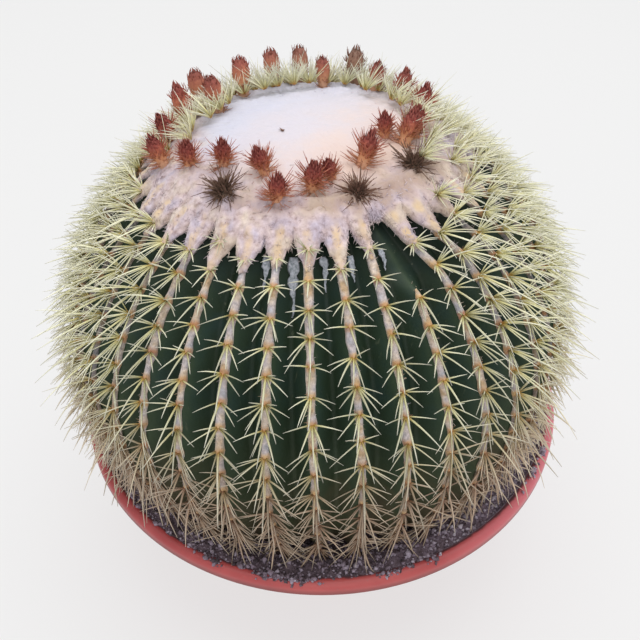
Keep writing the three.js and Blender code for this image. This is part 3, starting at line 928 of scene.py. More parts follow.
def hair_mesh(rib, areoles, random):
    """Loose ends of felt that stand off the strip, thickest round the areoles. Returns the
    same as the strip."""
    count = HAIRS_PER_AREOLE * len(areoles)
    distances = np.repeat(areoles, HAIRS_PER_AREOLE) + random.normal(0, 5.5 * MM, count)
    points, out, down, across = crest_frame(rib, distances)
    offset = random.uniform(-2.6, 2.6, count) * MM
    root = points + across * offset[:, None] + out * 0.6 * MM
    aim = unit(out * random.uniform(0.3, 1, (count, 1)) + down * random.normal(0, 0.6, (count, 1))
               + across * (offset[:, None] / (2 * MM) + random.normal(0, 0.6, (count, 1))))
    length = random.uniform(1.2, 2.8, count) * MM
    spots, faces, _ = needles(root, aim, aim * 0, length, np.full(count, 0.22 * MM), 3, 1)
    near = near_areole(distances, areoles, 4 * MM)
    old = smooth_step(0.2, -0.3, level_at(distances))
    return in_place(spots), faces, np.repeat(near, 6), np.repeat(old, 6)


def horny_spine():
    """A spine is hard and horn-like, with a satin gloss and fine cross banding. It runs from
    an orange root through straw yellow to a pale tip, and weathers to dull tan."""
    material, tree, shader = new_material("horny_spine", {"Roughness": 0.38, "IOR": 1.54})
    along, age, tone_and_painted_shading = (add_node(tree, "Attribute", attribute_name=key).outputs["Fac"]
                        for key in ("along", "age", "tone_and_painted_shading"))
    young = add_node(
        tree, "ValToRGB", {"Fac": along},
        stops=[(0.0, "#b97a3a"), (1.0, "#e4e2d2"), (0.06, "#c9ab5c"), (0.18, "#d2cc93"),
               (0.5, "#dcdab8")])
    weathered = add_node(
        tree, "ValToRGB", {"Fac": along},
        stops=[(0.0, "#86593f"), (1.0, "#cebea8"), (0.12, "#a9896f"), (0.6, "#c8b097")])
    place = add_node(tree, "TexCoord").outputs["Object"]
    blotches = add_node(tree, "TexNoise", {"Vector": place, "Scale": 1 / (18 * MM)})
    ageing = add_node(tree, "Math", {0: blotches, 1: 0.5, 2: age}, operation="MULTIPLY_ADD")
    share = add_node(tree, "MapRange", {"Value": ageing, "From Min": 0.25, "From Max": 1.1})
    colour = add_node(tree, "MixRGB", {"Fac": share, "Color1": young, "Color2": weathered})
    # The tone scales each spine's colour: a random tone with the painted light and shade.
    darker = add_node(
        tree, "MapRange", {"Value": tone_and_painted_shading, "From Max": 1.6, "To Min": 0.62, "To Max": 1.28})
    toned = add_node(
        tree, "MixRGB", {"Fac": 1.0, "Color1": colour, "Color2": darker}, blend_type="MULTIPLY")
    join(tree, toned, shader, "Base Color")
    bands = add_node(tree, "Math", {0: along, 1: 150.0}, operation="MULTIPLY")
    wave = add_node(tree, "Math", {0: bands}, operation="SINE")
    bump = add_node(tree, "Bump", {"Height": wave, "Strength": 0.2, "Distance": 0.1 * MM})
    join(tree, bump, shader, "Normal")
    return material


def areole_felt():
    """Short plant felt, matted and dusty: pale grey in patches of blue and tan between the
    areoles, rusty orange where the spines come through and brown where it is old. On the
    crowded sides it is painted darker, a painted shade."""
    material, tree, shader = new_material("areole_felt", {
        "Roughness": 0.95, "Sheen Weight": 0.35, "Sheen Roughness": 0.5})
    pad, age, tone_and_painted_shading = (add_node(tree, "Attribute", attribute_name=key).outputs["Fac"]
                      for key in ("pad", "age", "tone_and_painted_shading"))
    # Painted shade: the felt is darker where the tone is high, on the crowded sides.
    shaded = add_node(tree, "MapRange", {"Value": tone_and_painted_shading, "To Min": 1.0, "To Max": 0.45})
    place = add_node(tree, "TexCoord").outputs["Object"]
    tufts = add_node(
        tree, "TexNoise",
        {"Vector": place, "Scale": 1 / (2.2 * MM), "Detail": 5.0, "Roughness": 0.65})
    patches = add_node(tree, "TexNoise", {"Vector": place, "Scale": 1 / (11 * MM)})
    hue = add_node(tree, "TexNoise", {"Vector": place, "Scale": 1 / (13 * MM), "Detail": 2.0})
    hues = add_node(
        tree, "ValToRGB", {"Fac": hue},
        stops=[(0.34, "#b2b0b6"), (0.66, "#c4a784"), (0.45, "#cdc1c1"), (0.54, "#d6c6b8")])
    lint = add_node(
        tree, "MapRange",
        {"Value": tufts, "From Min": 0.3, "From Max": 0.7, "To Min": 0.62, "To Max": 1.25})
    shade = add_node(tree, "Math", {0: lint, 1: shaded}, operation="MULTIPLY")
    grey = add_node(
        tree, "MixRGB", {"Fac": 1.0, "Color1": hues, "Color2": shade}, blend_type="MULTIPLY")
    brown = add_node(tree, "MixRGB", {"Fac": age, "Color1": grey, "Color2": "#927559"})
    rust = add_node(
        tree, "ValToRGB", {"Fac": patches}, stops=[(0.35, "#b67a4d"), (0.65, "#d3ab74")])
    edge = add_node(tree, "Math", {0: pad, 1: tufts}, operation="MULTIPLY")
    shown = add_node(
        tree, "ValToRGB", {"Fac": edge},
        stops=[(0.15, (0, 0, 0, 1)), (0.42, (0.85, 0.85, 0.85, 1))])
    colour = add_node(tree, "MixRGB", {"Fac": shown, "Color1": brown, "Color2": rust})
    join(tree, colour, shader, "Base Color")
    bump = add_node(tree, "Bump", {"Height": tufts, "Strength": 0.5, "Distance": 0.6 * MM})
    join(tree, bump, shader, "Normal")
    return material


spine_material = horny_spine()
felt_material = areole_felt()
for rib in range(RIBS):
    random = np.random.default_rng(1000 + rib)
    areoles = areoles_of(rib, random)
    spines = spine_mesh([spine for distance in areoles
                         for spine in spines_at(rib, distance, random)])
    strip = strip_mesh(rib, areoles, random)
    hairs = hair_mesh(rib, areoles[level_at(areoles) < 0.77], random)
    # Painted shade for the felt strips, darker on the crowded sides.
    shade = crowding(360 * rib / RIBS)
    felt = [(points, faces, 0, old, shade, near) for points, faces, near, old in (strip, hairs)]
    points, faces, along, age, tone_and_painted_shading, pad = joined([(*spines, 0), *felt])
    slots = np.arange(len(faces)) >= len(spines[1])
    row = add_mesh(f"spines_on_rib_{rib + 1:02d}", points, faces,
                   [spine_material, felt_material], slots,
                   {"along": along, "age": age, "tone_and_painted_shading": tone_and_painted_shading, "pad": pad})
    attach(row, "root")
    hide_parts(f"spine_row_{rib + 1:02d}")


# ---- Crown wool ----------------------------------------------------------------------------
# The growing point lies under a cushion of matted white wool, shed by the youngest areoles.
# It bridges the valleys between the ribs and ends in one woolly lobe on each rib, and a few
# threads of it have run down the valleys and dried on the skin.

WOOL_TOP = 257 * MM
WOOL_DROOP = 1.45
SHOULDER_LEVEL = 0.885
WOOL_THICKNESS = 6 * MM
WOOL_COLUMNS_PER_RIB = 16
WOOL_FIBRES = 3600
# The wool stands out from this point on the plant's axis.
WOOL_CORE = np.array([0, 0, 120 * MM])
# A row of the upper side, counted from the middle, and how deep the underside lies below it.
WOOL_DEPTHS = [(50, 2.2 * MM), (38, 4.2 * MM), (25, 4.8 * MM), (12, 5.0 * MM)]
wool_random = np.random.default_rng(61)
# How far down each rib its lobe reaches, and how far up the valley after it the notch. At
# the front they are listed one by one.
lobe_levels = wool_random.normal(0.735, 0.007, RIBS)
lobe_levels[-8:-1] = [0.712, 0.7, 0.698, 0.7, 0.695, 0.7, 0.712]
notch_levels = wool_random.normal(0.81, 0.012, RIBS).clip(0.785, 0.84)
notch_levels[-8:] = [0.785, 0.765, 0.77, 0.782, 0.81, 0.783, 0.79, 0.802]
notch_levels[:7] = [0.805, 0.822, 0.824, 0.824, 0.82, 0.803, 0.846]
THREAD_LEVEL = 0.735
THREAD_STEPS = 14
# Where a thread runs between two ribs, its length and its greatest half width, in mm.
VALLEY_THREADS = [(-0.5, 40, 3.7), (0.5, 24, 2.9), (1.38, 18, 2.4), (-1.4, 22, 3.1),
                  (2.6, 15, 2.2), (-7.4, 18, 2), (9.5, 21, 2), (16.4, 17, 2)]
# A thread's section, in half widths: how far sideways and how high over the skin.
THREAD_SECTION = [(-1, 0.7), (-0.6, 0.95), (0, 0.5), (0.6, 0.95), (1, 0.7), (0, 0)]


def wool_dome(radius):
    """The height of the cushion, in the plant's frame."""
    return WOOL_TOP - WOOL_DROOP * np.asarray(radius) ** 2


def lobe_offset(position):
    """From 0 in the middle of a rib's lobe to 1 in a notch. The short rib has no lobe."""
    offset = np.abs((position + 0.5) % 1 * 2 - 1)
    return np.where(np.floor(position + 0.5) % RIBS == SHORT_RIB, 1, offset)


def wool_surface(position, share):
    """Radius, height and bearing of the wool's upper side, in the plant's frame. share runs
    from 0, at the growing point, over 1, at the shoulder, to 2, at the ragged edge."""
    offset = lobe_offset(position)
    angle = 2 * math.pi * position / RIBS
    lobe = lobe_levels[np.floor(position + 0.5).astype(int) % RIBS]
    notch = notch_levels[np.floor(position).astype(int) % RIBS]
    inwards = np.clip((offset - 0.17) / 0.83, 0, 1) ** 0.92
    edge = lobe + (notch - lobe) * inwards
    edge = edge + 0.003 * np.sin(angle * 150) + 0.007 * inwards * np.sin(61 * position)
    outer = np.clip(share - 1, 0, 1)
    level = SHOULDER_LEVEL + (edge - SHOULDER_LEVEL) * outer
    crest_radius, crest_height = crest(level)
    fallen = (SHOULDER_LEVEL - level) / (SHOULDER_LEVEL - lobe)
    thick = WOOL_THICKNESS * (1 - 0.5 * fallen ** 1.6) * (1 - 0.24 * outer ** 6)
    sag = (0.4 * fallen + 1.6 * fallen ** 3 + 3.4 * outer ** 7) * MM * offset ** 1.5
    slope = math.radians(36) + outer * math.radians(6)
    cushion_radius = (float(crest(SHOULDER_LEVEL)[0]) + 2 * MM) * np.clip(share, 0, 1)
    radius = np.where(share < 1, cushion_radius, crest_radius + (thick - sag) * np.sin(slope))
    height = np.where(share < 1, wool_dome(cushion_radius),
                      crest_height + (thick - sag) * np.cos(slope))
    return radius, height, rib_angle(position, level)


def wool_mesh():
    """The cushion and its lobes as one closed body: points, faces, and how rusty, how much
    painted shade it takes and how dusty it is. A fold runs round the front, outside the flower
    heads."""
    columns = RIBS * WOOL_COLUMNS_PER_RIB
    position = np.arange(columns) / WOOL_COLUMNS_PER_RIB
    angle = 2 * math.pi * position / RIBS
    facing = smooth_step(85, 45, apart(np.degrees(angle), 15))
    right_front_shade = smooth_step(42, 20, apart(np.degrees(angle), 42))
    behind = smooth_step(85, 125, apart(np.degrees(angle)))
    shares = np.concatenate([np.linspace(0.04, 0.96, 26), np.linspace(1, 2, 26)])
    rows, lobes, crease_and_head_shade, dusts = [], [], [], []
    for share in shares:
        radius, height, turn = wool_surface(position, np.full(columns, share))
        fold = (share - 1.1 - 0.035 * np.sin(4.5 * angle) - 0.02 * np.sin(11 * angle)) / 0.045
        crease = facing * np.exp(-fold ** 2)
        height = height - 2.2 * MM * crease + 1.2 * MM * facing * np.exp(-(fold + 2) ** 2)
        rows.append(around(radius, turn, height))
        lobes.append(np.exp(-(lobe_offset(position) / 0.55) ** 2) * smooth_step(1.1, 1.5, share))
        ringed = smooth_step(0.8, 0.98, share) * smooth_step(1.5, 1.1, share)
        # Painted shade goes in the fold's crease, in a band among the flower heads and on the
        # right front.
        crease_and_head_shade.append(np.maximum(crease, ringed * (0.45 - 0.38 * behind + 0.3 * facing)
                                + 0.5 * right_front_shade * smooth_step(0.85, 1.1, share)))
        dusts.append(smooth_step(0.72, 1.0, share - 0.2 * behind))
    top = np.vstack(rows)
    tufts = [noise.fractal(Vector(spot) / (15 * MM), 0.9, 2.0, 3) * 1.5
             + noise.fractal(Vector(spot) / (4.2 * MM), 0.8, 2.1, 3) * 1.2 for spot in top]
    calm = np.repeat(0.35 + 0.65 * smooth_step(0.5, 0.8, shares), columns)
    away = unit(top - WOOL_CORE)
    top = top + away * (np.array(tufts) * calm * MM)[:, None]
    layers = [top]
    for row, depth in WOOL_DEPTHS:
        under = slice(row * columns, (row + 1) * columns)
        layers.append(top[under] - away[under] * depth)
    count = len(rows) + len(WOOL_DEPTHS)
    faces = grid_faces(count, columns) + fan_faces(count * columns, 0, columns)
    faces += fan_faces(count * columns + 1, (count - 1) * columns, columns)
    points = np.vstack([*layers, [0, 0, WOOL_TOP + 0.4 * MM], [0, 0, WOOL_TOP - 6 * MM]])
    padding = np.zeros(len(WOOL_DEPTHS) * columns + 2)
    return (in_place(points), faces,
            *(np.concatenate([*numbers, padding]) for numbers in (lobes, crease_and_head_shade, dusts)))


def wool_fibres(random):
    """Tufts that lie over the wool, longest and wildest at the ragged edge."""
    position = random.uniform(0, RIBS, WOOL_FIBRES)
    share = 2 - random.beta(0.9, 3.2, WOOL_FIBRES) * 1.6
    radius, height, angle = wool_surface(position, share)
    root = around(radius, angle, height)
    out = unit(root - WOOL_CORE)
    across = np.column_stack([np.cos(angle), np.sin(angle), 0 * angle])
    down = np.cross(out, across)
    down *= np.where(down[:, 2:] > 0, -1, 1)
    aim = unit(down * random.normal(0.5, 0.5, (WOOL_FIBRES, 1))
               + across * random.normal(0, 0.75, (WOOL_FIBRES, 1))
               + out * random.uniform(0, 0.3, (WOOL_FIBRES, 1)))
    bend = -0.3 * out + random.normal(0, 0.2, (WOOL_FIBRES, 3))
    length = random.uniform(1.8, 4, WOOL_FIBRES) * MM
    thickness = random.uniform(0.2, 0.4, WOOL_FIBRES) * MM
    spots, faces, _ = needles(root, aim, bend, length, thickness, 3, 2)
    return (in_place(spots), faces, np.repeat(smooth_step(1.3, 1.8, share) * 0.5, 9), 0,
            np.repeat(smooth_step(0.66, 0.98, share), 9))


def skin_point(position, level):
    """Places on the skin between two ribs, in the plant's frame."""
    radius, height = crest(level)
    offset = (position + 0.5) % 1 * 2 - 1
    radius = radius - rib_depth(radius, level) * rib_fall(offset)
    return around(radius, rib_angle(position, level), height)


def valley_thread(position, length, width, random):
    """A dried run of wool down a valley: broad above, drawn out to a thread below."""
    share = np.linspace(0, 1, THREAD_STEPS)
    centre = skin_point(position, level_at(distance_at(THREAD_LEVEL) + share * length * MM))
    angle = 2 * math.pi * position / RIBS
    across = np.array([math.cos(angle), math.sin(angle), 0])
    out = unit(centre * [1, 1, 0]) * 0.8 + np.array([0, 0, 0.6])
    taper = np.interp(share, [0, 0.12, 0.3, 0.6, 1], [0.72, 0.95, 0.86, 0.5, 0.14])
    raggedness = (1 + 0.24 * random.normal(0, 1, THREAD_STEPS)).clip(0.45, 1.4)
    half = width * MM * taper * raggedness
    wander = np.cumsum(random.normal(0, 0.26, THREAD_STEPS)) * MM
    spots = np.stack([centre + across * (sideways * half + wander)[:, None]
                      + out * (lift * half + 0.4 * MM)[:, None]
                      for sideways, lift in THREAD_SECTION], axis=1).reshape(-1, 3)
    ring = len(THREAD_SECTION)
    last = (THREAD_STEPS - 1) * ring
    faces = [face[::-1] for face in grid_faces(THREAD_STEPS, ring)]
    faces += [list(range(ring)), list(range(last, last + ring))[::-1]]
    return in_place(spots), faces, 0, 0, 0


def matted_wool():
    """Plant wool: fine white fibres felted together, matt with a soft sheen. It is clean on
    the cushion, bluish towards the left and back and cream towards the right and front, pinkish
    and dusty outside it, beige with painted shade in the fold and among the flower heads, and
    rusty where an areole shows through."""
    material, tree, shader = new_material("matted_wool", {
        "Roughness": 1.0, "Sheen Weight": 0.4, "Sheen Roughness": 0.6})
    place = add_node(tree, "TexCoord").outputs["Object"]
    lobe, ring, dust = (add_node(tree, "Attribute", attribute_name=key).outputs["Fac"]
                        for key in ("lobe", "ring", "dust"))
    clouds = add_node(
        tree, "TexNoise",
        {"Vector": place, "Scale": 1 / (34 * MM), "Detail": 7.0, "Roughness": 0.65})
    drift = add_node(tree, "Math", {0: clouds, 1: 0.45, 2: 0.27}, operation="MULTIPLY_ADD")
    tufts = add_node(
        tree, "TexNoise",
        {"Vector": place, "Scale": 1 / (5 * MM), "Detail": 6.0, "Roughness": 0.65})
    # Bluish towards the left and back, cream towards the right and front.
    warm = add_node(tree, "VectorMath", {0: place, 1: (3.2, -3.2, 0)}, operation="DOT_PRODUCT")
    shifted = add_node(tree, "Math", {0: warm.outputs["Value"], 1: drift}, operation="ADD")
    clean = add_node(
        tree, "ValToRGB", {"Fac": shifted},
        stops=[(0.2, "#cecede"), (0.72, "#dcc2b4"), (0.42, "#d6ced5"), (0.56, "#dfccc7")])
    felted = add_node(
        tree, "ValToRGB", {"Fac": tufts},
        stops=[(0.3, "#a18c87"), (0.66, "#e4dadc"), (0.44, "#c8babb")])
    washes = add_node(tree, "TexNoise", {"Vector": place, "Scale": 1 / (17 * MM)})
    wash = add_node(
        tree, "ValToRGB", {"Fac": washes},
        stops=[(0.36, "#eae7f6"), (0.64, "#fbf3df"), (0.5, "#fbf1f0")])
    dusty = add_node(
        tree, "MixRGB", {"Fac": 1.0, "Color1": felted, "Color2": wash}, blend_type="MULTIPLY")
    base = add_node(tree, "MixRGB", {"Fac": dust, "Color1": clean, "Color2": dusty})
    # Painted shade: beige darkening in the fold's crease and among the flower heads.
    shade_pattern = add_node(tree, "Math", {0: ring, 1: tufts}, operation="MULTIPLY")
    shade_mask = add_node(
        tree, "ValToRGB", {"Fac": shade_pattern},
        stops=[(0.2, (0, 0, 0, 1)), (0.6, (0.8, 0.8, 0.8, 1))])
    beige_painted_shade = add_node(tree, "MixRGB", {"Fac": shade_mask, "Color1": base, "Color2": "#ad917e"})
    spots = add_node(tree, "TexNoise", {"Vector": place, "Scale": 1 / (9 * MM)})
    rusty = add_node(tree, "Math", {0: lobe, 1: spots}, operation="MULTIPLY")
    rust = add_node(
        tree, "ValToRGB", {"Fac": rusty},
        stops=[(0.3, (0, 0, 0, 1)), (0.65, (0.85, 0.85, 0.85, 1))])
    colour = add_node(tree, "MixRGB", {"Fac": rust, "Color1": beige_painted_shade, "Color2": "#ddbf93"})
    join(tree, colour, shader, "Base Color")
    bump = add_node(tree, "Bump", {"Height": tufts, "Strength": 0.6, "Distance": 1.1 * MM})
    join(tree, bump, shader, "Normal")
    return material


def dried_wool_thread():
    """Wool that rain has washed down and the sun has bleached: thin, hard and bluish white."""
    material, tree, shader = new_material("dried_wool_thread", {"Roughness": 0.9})
    place = add_node(tree, "TexCoord").outputs["Object"]
    wisps = add_node(
        tree, "TexNoise",
        {"Vector": place, "Scale": 1 / (2.5 * MM), "Detail": 5.0, "Roughness": 0.7})
    colour = add_node(
        tree, "ValToRGB", {"Fac": wisps}, stops=[(0.34, "#6a7378"), (0.6, "#b4b7c0")])
    join(tree, colour, shader, "Base Color")
    return material


fleece = [wool_mesh(), wool_fibres(wool_random)]
threads = [valley_thread(*thread, wool_random) for thread in VALLEY_THREADS]
wool_points, wool_faces, lobes, crease_and_head_shade, dusts = joined(fleece + threads)
wool_slots = np.arange(len(wool_faces)) >= sum(len(faces) for _, faces, *_ in fleece)
wool = add_mesh("matted_crown_wool", wool_points, wool_faces,
                [matted_wool(), dried_wool_thread()], wool_slots,
                attributes={"lobe": lobes, "ring": crease_and_head_shade, "dust": dusts})
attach(wool, "root")
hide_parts("crown_wool")


# ---- Dried flower heads --------------------------------------------------------------------
# Each head is a spent flower, dried hard: a woolly tube covered with spiralled, pointed
# scales, orange-brown below and dark maroon at the tips. Old ones weather to grey-black and
# spread open like stars. They stand in the wool in an uneven ring and lean outwards.

HEAD_HEIGHT = 27 * MM
HEAD_RADIUS = 5.4 * MM
HEAD_SEAT_DEPTH = 3 * MM
# Heights up a head, and its half widths there when it is open, closed and a weathered star,
# as shares of its height and its radius.
OUTLINE_HEIGHTS = [0.0, 0.2, 0.42, 0.56, 0.72, 0.86, 0.96]
OPEN_OUTLINE = np.array([0.7, 0.75, 0.8, 0.95, 0.95, 0.72, 0.3])
CLOSED_OUTLINE = np.array([0.62, 0.8, 1.05, 1.18, 1.18, 1.0, 0.62])
STAR_OUTLINE = np.array([0.8, 0.95, 1.0, 0.9, 0.7, 0.45, 0.2])
CORE_SIDES = 12
BUD_SCALES = 58
SPIKES = 104
GOLDEN_ANGLE = math.pi * (3 - math.sqrt(5))
UP = np.array([0, 0, 1.0])
# Bearing from the front in degrees, distance from the growing point in mm, leans outwards and
# sideways in degrees, how far the head has opened and weathered, and its size.
CARRIED_HEADS = [
    (-13, 86, 11, 8, 0.85, 0, 0.92), (2, 75, 13, 6, 0.8, 0, 0.96),
    (-37, 88, 29, 14, 1, 0.95, 1.08), (-25, 64, 11, -8, 0.8, 0, 0.9),
    (-53, 70, 6, 12, 0.75, 0, 0.9), (-66, 87, 7, 13, 0.6, 0, 0.95),
    (-77, 102, 16, 5, 0.5, 0, 1), (-97, 98, 9, 26, 0.45, 0, 1.1),
    (-110, 93, 18, -5, 0.35, 0, 1.15), (-127, 100, 14, 0, 0.1, 0.2, 1.05),
    (-144, 86, 16, -8, 0.1, 0.15, 1.05), (-164, 102, 20, 0, 0.1, 0.25, 1),
    (-176, 107, 20, 0, 0.1, 0.45, 1), (146, 88, 8, -4, 0.3, 0.2, 0.92),
    (112, 85, 12, -8, 0.5, 0, 1.04), (71, 68, 11, 20, 0.6, 0, 1.05),
    (57, 82, 24, -25, 1, 0.95, 1), (22, 84, 34, -10, 1, 0.85, 1),
]
FURTHER_HEADS = [
    (14, 66, 20, -14, 0.6, 0, 0.8), (34, 62, 0, 22, 0.8, 0, 1),
    (76, 54, 3, -14, 0.5, 0, 0.9), (129, 87, 10, -3, 0.4, 0.1, 1.04),
    (160, 99, 14, 0, 0.3, 0.75, 1.1), (-121, 77, 4, 8, 0.15, 0.15, 1.05),
    (173, 83, 4, 0, 0.15, 0.2, 0.85), (85, 73, 8, -5, 0.5, 0, 1),
]


def blades(root, aim, bend, wide, length, width, thickness, steps=3):
    """Pointed blades of diamond section, each with its breadth along wide: points, faces
    and, for each point, how far along its blade it lies."""
    along = np.linspace(0, 1, steps + 1)
    centre, heading = centre_lines(root, aim, bend, length, along)
    over = unit(np.cross(heading, wide[:, None]))
    half_width = width[:, None] * np.interp(along, [0, 0.35, 1], [0.75, 1, 0.08])
    half_depth = thickness[:, None] * np.interp(along, [0, 1], [1, 0.2])
    breadth, depth = wide[:, None] * half_width[..., None], over * half_depth[..., None]
    points = np.stack([centre + breadth, centre + depth, centre - breadth, centre - depth],
                      axis=2).reshape(-1, 3)
    return points, tube_faces(len(root), steps, 4), np.tile(np.repeat(along, 4), len(root))


def head_core(outline, height):
    """The woolly tube and bud under the scales. Like the scales and the spikes, it returns
    points, faces, how high each point stands and how far along its scale it lies."""
    turn = 2 * math.pi * np.arange(CORE_SIDES) / CORE_SIDES
    points = np.array([(HEAD_RADIUS * share * math.cos(angle),
                        HEAD_RADIUS * share * math.sin(angle), height * rise * 0.92)
                       for rise, share in zip(OUTLINE_HEIGHTS, outline) for angle in turn])
    return points, tube_faces(1, len(outline) - 1, CORE_SIDES), points[:, 2] / height, 0.2


def leaning(turn, spread):
    """The outward direction at each turn, and one that leans that way from upright."""
    out = np.column_stack([np.cos(turn), np.sin(turn), 0 * turn])
    return out, out * np.sin(spread)[:, None] + UP * np.cos(spread)[:, None]


def bud_scales(outline, height, opened, closed, random):
    """Tight scales over the upper half of a head, in spirals."""
    index = np.arange(BUD_SCALES)
    rise = 0.4 + 0.6 * index / (BUD_SCALES - 1)
    turn = index * GOLDEN_ANGLE + random.normal(0, 0.1, BUD_SCALES)
    spread = np.interp(rise, [0.4, 0.7, 1], [24 + 26 * opened, 12 + 10 * opened, 3])
    spread = np.radians(spread + random.normal(0, 5, BUD_SCALES)).clip(0.02, 1.6)
    out, aim = leaning(turn, spread)
    root = (out * (HEAD_RADIUS * 0.9 * np.interp(rise, OUTLINE_HEIGHTS, outline))[:, None]
            + UP * (height * (rise - 0.1))[:, None])
    inward = 0.22 * (1 - 0.7 * opened) + 0.4 * closed
    bend = -inward * out + random.normal(0, 0.05, (BUD_SCALES, 3))
    wide = np.column_stack([-np.sin(turn), np.cos(turn), 0 * turn])
    length = (3.2 + 2.8 * opened) * MM * random.uniform(0.8, 1.2, BUD_SCALES)
    width = np.interp(rise, [0.4, 0.7, 1], [0.9, 1.25, 0.9]) * MM
    spots, faces, along = blades(root, aim, bend, wide, length, width,
                                 np.full(BUD_SCALES, 0.4 * MM))
    return spots, faces, np.repeat(rise, 16), along


def head_spikes(outline, height, opened, closed, star, random):
    """Long stiff spikes that stand out all round the lower part of a head."""
    count = int(SPIKES * (0.45 + 0.55 * max(opened, closed)))
    turn = random.uniform(0, 2 * math.pi, count)
    rise = random.uniform(0.06, 0.62 + 0.2 * star + 0.2 * closed, count)
    spread = 98 - 70 * rise + random.normal(0, 11, count) - 24 * (1 - opened)
    out, aim = leaning(turn, np.radians(spread).clip(0.1, 1.9))
    root = (out * (HEAD_RADIUS * 0.8 * np.interp(rise, OUTLINE_HEIGHTS, outline))[:, None]
            + UP * (height * rise)[:, None])
    bend = (0.12 - 0.3 * star) * UP - closed * 0.6 * rise[:, None] * out
    bend += random.normal(0, 0.1 + 0.08 * star, (count, 3))
    length = (4.5 + 9 * opened) * MM * random.uniform(0.6, 1.1, count)
    spots, faces, along = needles(root, aim, bend, length, np.full(count, 0.42 * MM), 3, 2,
                                  tip=0.3)
    return spots, faces, np.repeat(rise, 9), along


def head_mesh(opened, random):
    """One head standing on the origin: its core, its scales and its spikes."""
    closed = smooth_step(0.5, 0.15, opened)
    star = smooth_step(0.85, 1, opened)
    outline = OPEN_OUTLINE + closed * (CLOSED_OUTLINE - OPEN_OUTLINE)
    outline += star * (STAR_OUTLINE - outline)
    height = HEAD_HEIGHT * (1 - 0.62 * star + 0.22 * closed)
    points, faces, rise, along = joined([
        head_core(outline, height), bud_scales(outline, height, opened, closed, random),
        head_spikes(outline, height, opened, closed, star, random)])
    return points, faces, rise * (1 - 0.12 * closed), along


def dried_scales():
    """Dry, papery scales: brittle and matt, pale rust at the foot, brick red in the middle
    and dark maroon at the top; weathered heads go grey-brown."""
    material, tree, shader = new_material("dried_flower_scales", {"Roughness": 0.8})
    rise, along, grey = (add_node(tree, "Attribute", attribute_name=key).outputs["Fac"]
                         for key in ("rise", "along", "weathered"))
    place = add_node(tree, "TexCoord").outputs["Object"]
    streaks = add_node(
        tree, "TexNoise", {"Vector": place, "Scale": 1 / (1.8 * MM), "Detail": 4.0})
    mixed = add_node(tree, "Math", {0: streaks, 1: 0.35, 2: rise}, operation="MULTIPLY_ADD")
    body = add_node(
        tree, "ValToRGB", {"Fac": mixed},
        stops=[(0.2, "#dfb598"), (1.0, "#7a332d"), (0.5, "#d79a70"), (0.72, "#c47659"),
               (0.88, "#99493e")])
    tips = add_node(
        tree, "ValToRGB", {"Fac": along},
        stops=[(0.2, (0, 0, 0, 1)), (0.8, (0.8, 0.8, 0.8, 1))])
    tipped = add_node(tree, "MixRGB", {"Fac": tips, "Color1": body, "Color2": "#9a554a"})
    old = add_node(
        tree, "ValToRGB", {"Fac": along},
        stops=[(0.0, "#978876"), (1.0, "#573f33"), (0.3, "#7c6453")])
    colour = add_node(tree, "MixRGB", {"Fac": grey, "Color1": tipped, "Color2": old})
    join(tree, colour, shader, "Base Color")
    bump = add_node(tree, "Bump", {"Height": streaks, "Strength": 0.5, "Distance": 0.4 * MM})
    join(tree, bump, shader, "Normal")
    return material


def seated(points, bearing, radius, outwards=0, sideways=0):
    """Sets points on the wool at a bearing and a distance from the growing point, turned by
    two leans, in the object's frame. Angles are in degrees."""
    angle = math.radians(bearing)
    place = Vector((radius * math.sin(angle), -radius * math.cos(angle),
                    float(wool_dome(radius)) - HEAD_SEAT_DEPTH))
    across = Vector((math.cos(angle), math.sin(angle), 0))
    outward = Vector((math.sin(angle), -math.cos(angle), 0))
    seat = np.array(PLANT @ Matrix.Translation(place)
                    @ Matrix.Rotation(math.radians(-sideways), 4, outward)
                    @ Matrix.Rotation(math.radians(outwards), 4, across))
    return points @ seat[:3, :3].T + seat[:3, 3]


scale_material = dried_scales()
for number, head_plan in enumerate(CARRIED_HEADS + FURTHER_HEADS, 1):
    bearing, radius, outwards, sideways, opened, weathered, size = head_plan
    points, faces, rise, along = head_mesh(opened, np.random.default_rng(500 + number))
    points = seated(points * size, bearing, radius * MM, outwards, sideways)
    head = add_mesh(f"dried_flower_{number:02d}", points, faces, [scale_material],
                    attributes={"rise": rise, "along": along,
                                "weathered": np.full(len(points), weathered)})
    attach(head, "root")
    if number <= len(CARRIED_HEADS):
        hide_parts(f"flower_head_{number:02d}")

# A scrap of one flower has dropped on the cushion: a few scales, spread like a star.
SCRAP_SCALES = 6
SCRAP_SEAT = (-60, 20 * MM)
random = np.random.default_rng(77)
turn = np.linspace(0, 2 * math.pi, SCRAP_SCALES, endpoint=False)
turn += random.normal(0, 0.4, SCRAP_SCALES)
aim = np.column_stack([np.cos(turn), np.sin(turn), random.uniform(0, 0.5, SCRAP_SCALES)])
wide = np.column_stack([-np.sin(turn), np.cos(turn), 0 * turn])
root = np.array([0, 0, HEAD_SEAT_DEPTH + 0.9 * MM]) - 0.8 * MM * aim
points, faces, along = blades(
    root, unit(aim), 0 * aim, wide, random.uniform(1.8, 4, SCRAP_SCALES) * MM,
    np.full(SCRAP_SCALES, 0.9 * MM), np.full(SCRAP_SCALES, 0.5 * MM))
points = seated(points, *SCRAP_SEAT)
scrap = add_mesh("dropped_flower_scrap", points, faces, [scale_material],
                 attributes={"rise": np.full(len(points), 0.9), "along": along,
                             "weathered": np.full(len(points), 0.8)})
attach(scrap, "root")


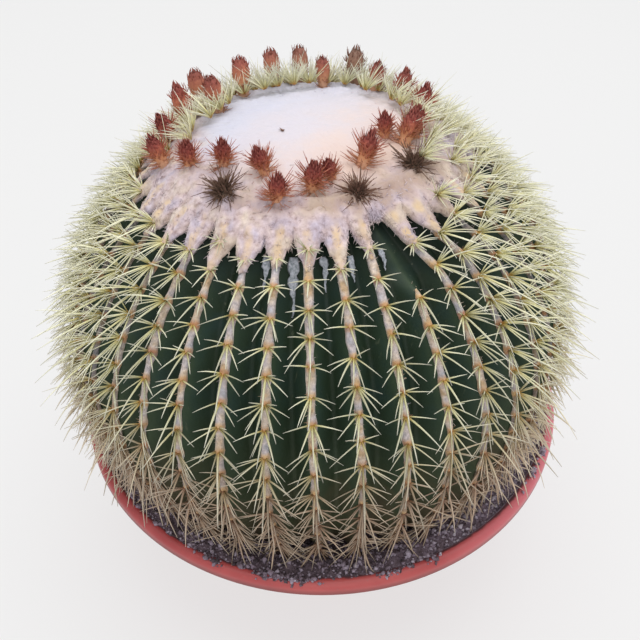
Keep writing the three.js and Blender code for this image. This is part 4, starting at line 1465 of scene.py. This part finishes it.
# ---- Studio --------------------------------------------------------------------------------
# A plain pale floor under a large overhead softbox and an even white room. The camera looks
# down on the front of the plant from about arm's length.

CAMERA_PLACE = (0, -0.5335, 0.7298)
CAMERA_PITCH = math.radians(90 - 43.46)
FLOOR_RADIUS = 4.0
FLOOR_DROP = 0.3 * MM

floor_points, floor_faces = turned([(0, 0), (0.6, 0), (1.4, 0), (FLOOR_RADIUS, 0)], 96)
floor_points = [(x, y, -FLOOR_DROP) for x, y, _ in floor_points]
floor_paint, floor_tree, floor_shader = new_material("lit_white_acrylic_table", {
    "Roughness": 0.9, "Emission Color": (1, 1, 1, 1), "Emission Strength": 0.66})
floor_grain = add_node(floor_tree, "TexNoise", {"Scale": 3.0})
floor_tint = add_node(
    floor_tree, "ValToRGB", {"Fac": floor_grain}, stops=[(0.3, "#7b7b7b"), (0.7, "#7c7c7c")])
join(floor_tree, floor_tint, floor_shader, "Base Color")
floor = add_mesh("studio_floor", floor_points, floor_faces, [floor_paint])

scene = bpy.context.scene
scene.view_settings.view_transform = "Standard"
world = bpy.data.worlds.new("white_room")
world.use_nodes = True
world.node_tree.nodes["Background"].inputs["Color"].default_value = (1.0, 1.0, 1.0, 1)
world.node_tree.nodes["Background"].inputs["Strength"].default_value = 0.62
scene.world = world

for label, place, size, power in (("softbox", (0.1, 0.1, 2.2), 2.0, 26),
                                  ("front_fill", (0.1, -2.2, 1.6), 1.6, 9)):
    lamp = bpy.data.lights.new(label, "AREA")
    lamp.shape = "DISK"
    lamp.size = size
    lamp.energy = power
    light = bpy.data.objects.new(label, lamp)
    light.location = place
    light.rotation_euler = (Vector((0, 0, 0.25)) - Vector(place)).to_track_quat(
        "-Z", "Y").to_euler()
    scene.collection.objects.link(light)

camera_data = bpy.data.cameras.new("camera")
camera_data.sensor_width = 36
camera_data.lens = 50.6
camera_data.shift_x = -0.0025
camera = bpy.data.objects.new("camera", camera_data)
camera.location = CAMERA_PLACE
camera.rotation_euler = (CAMERA_PITCH, 0, 0)
scene.collection.objects.link(camera)
scene.camera = camera
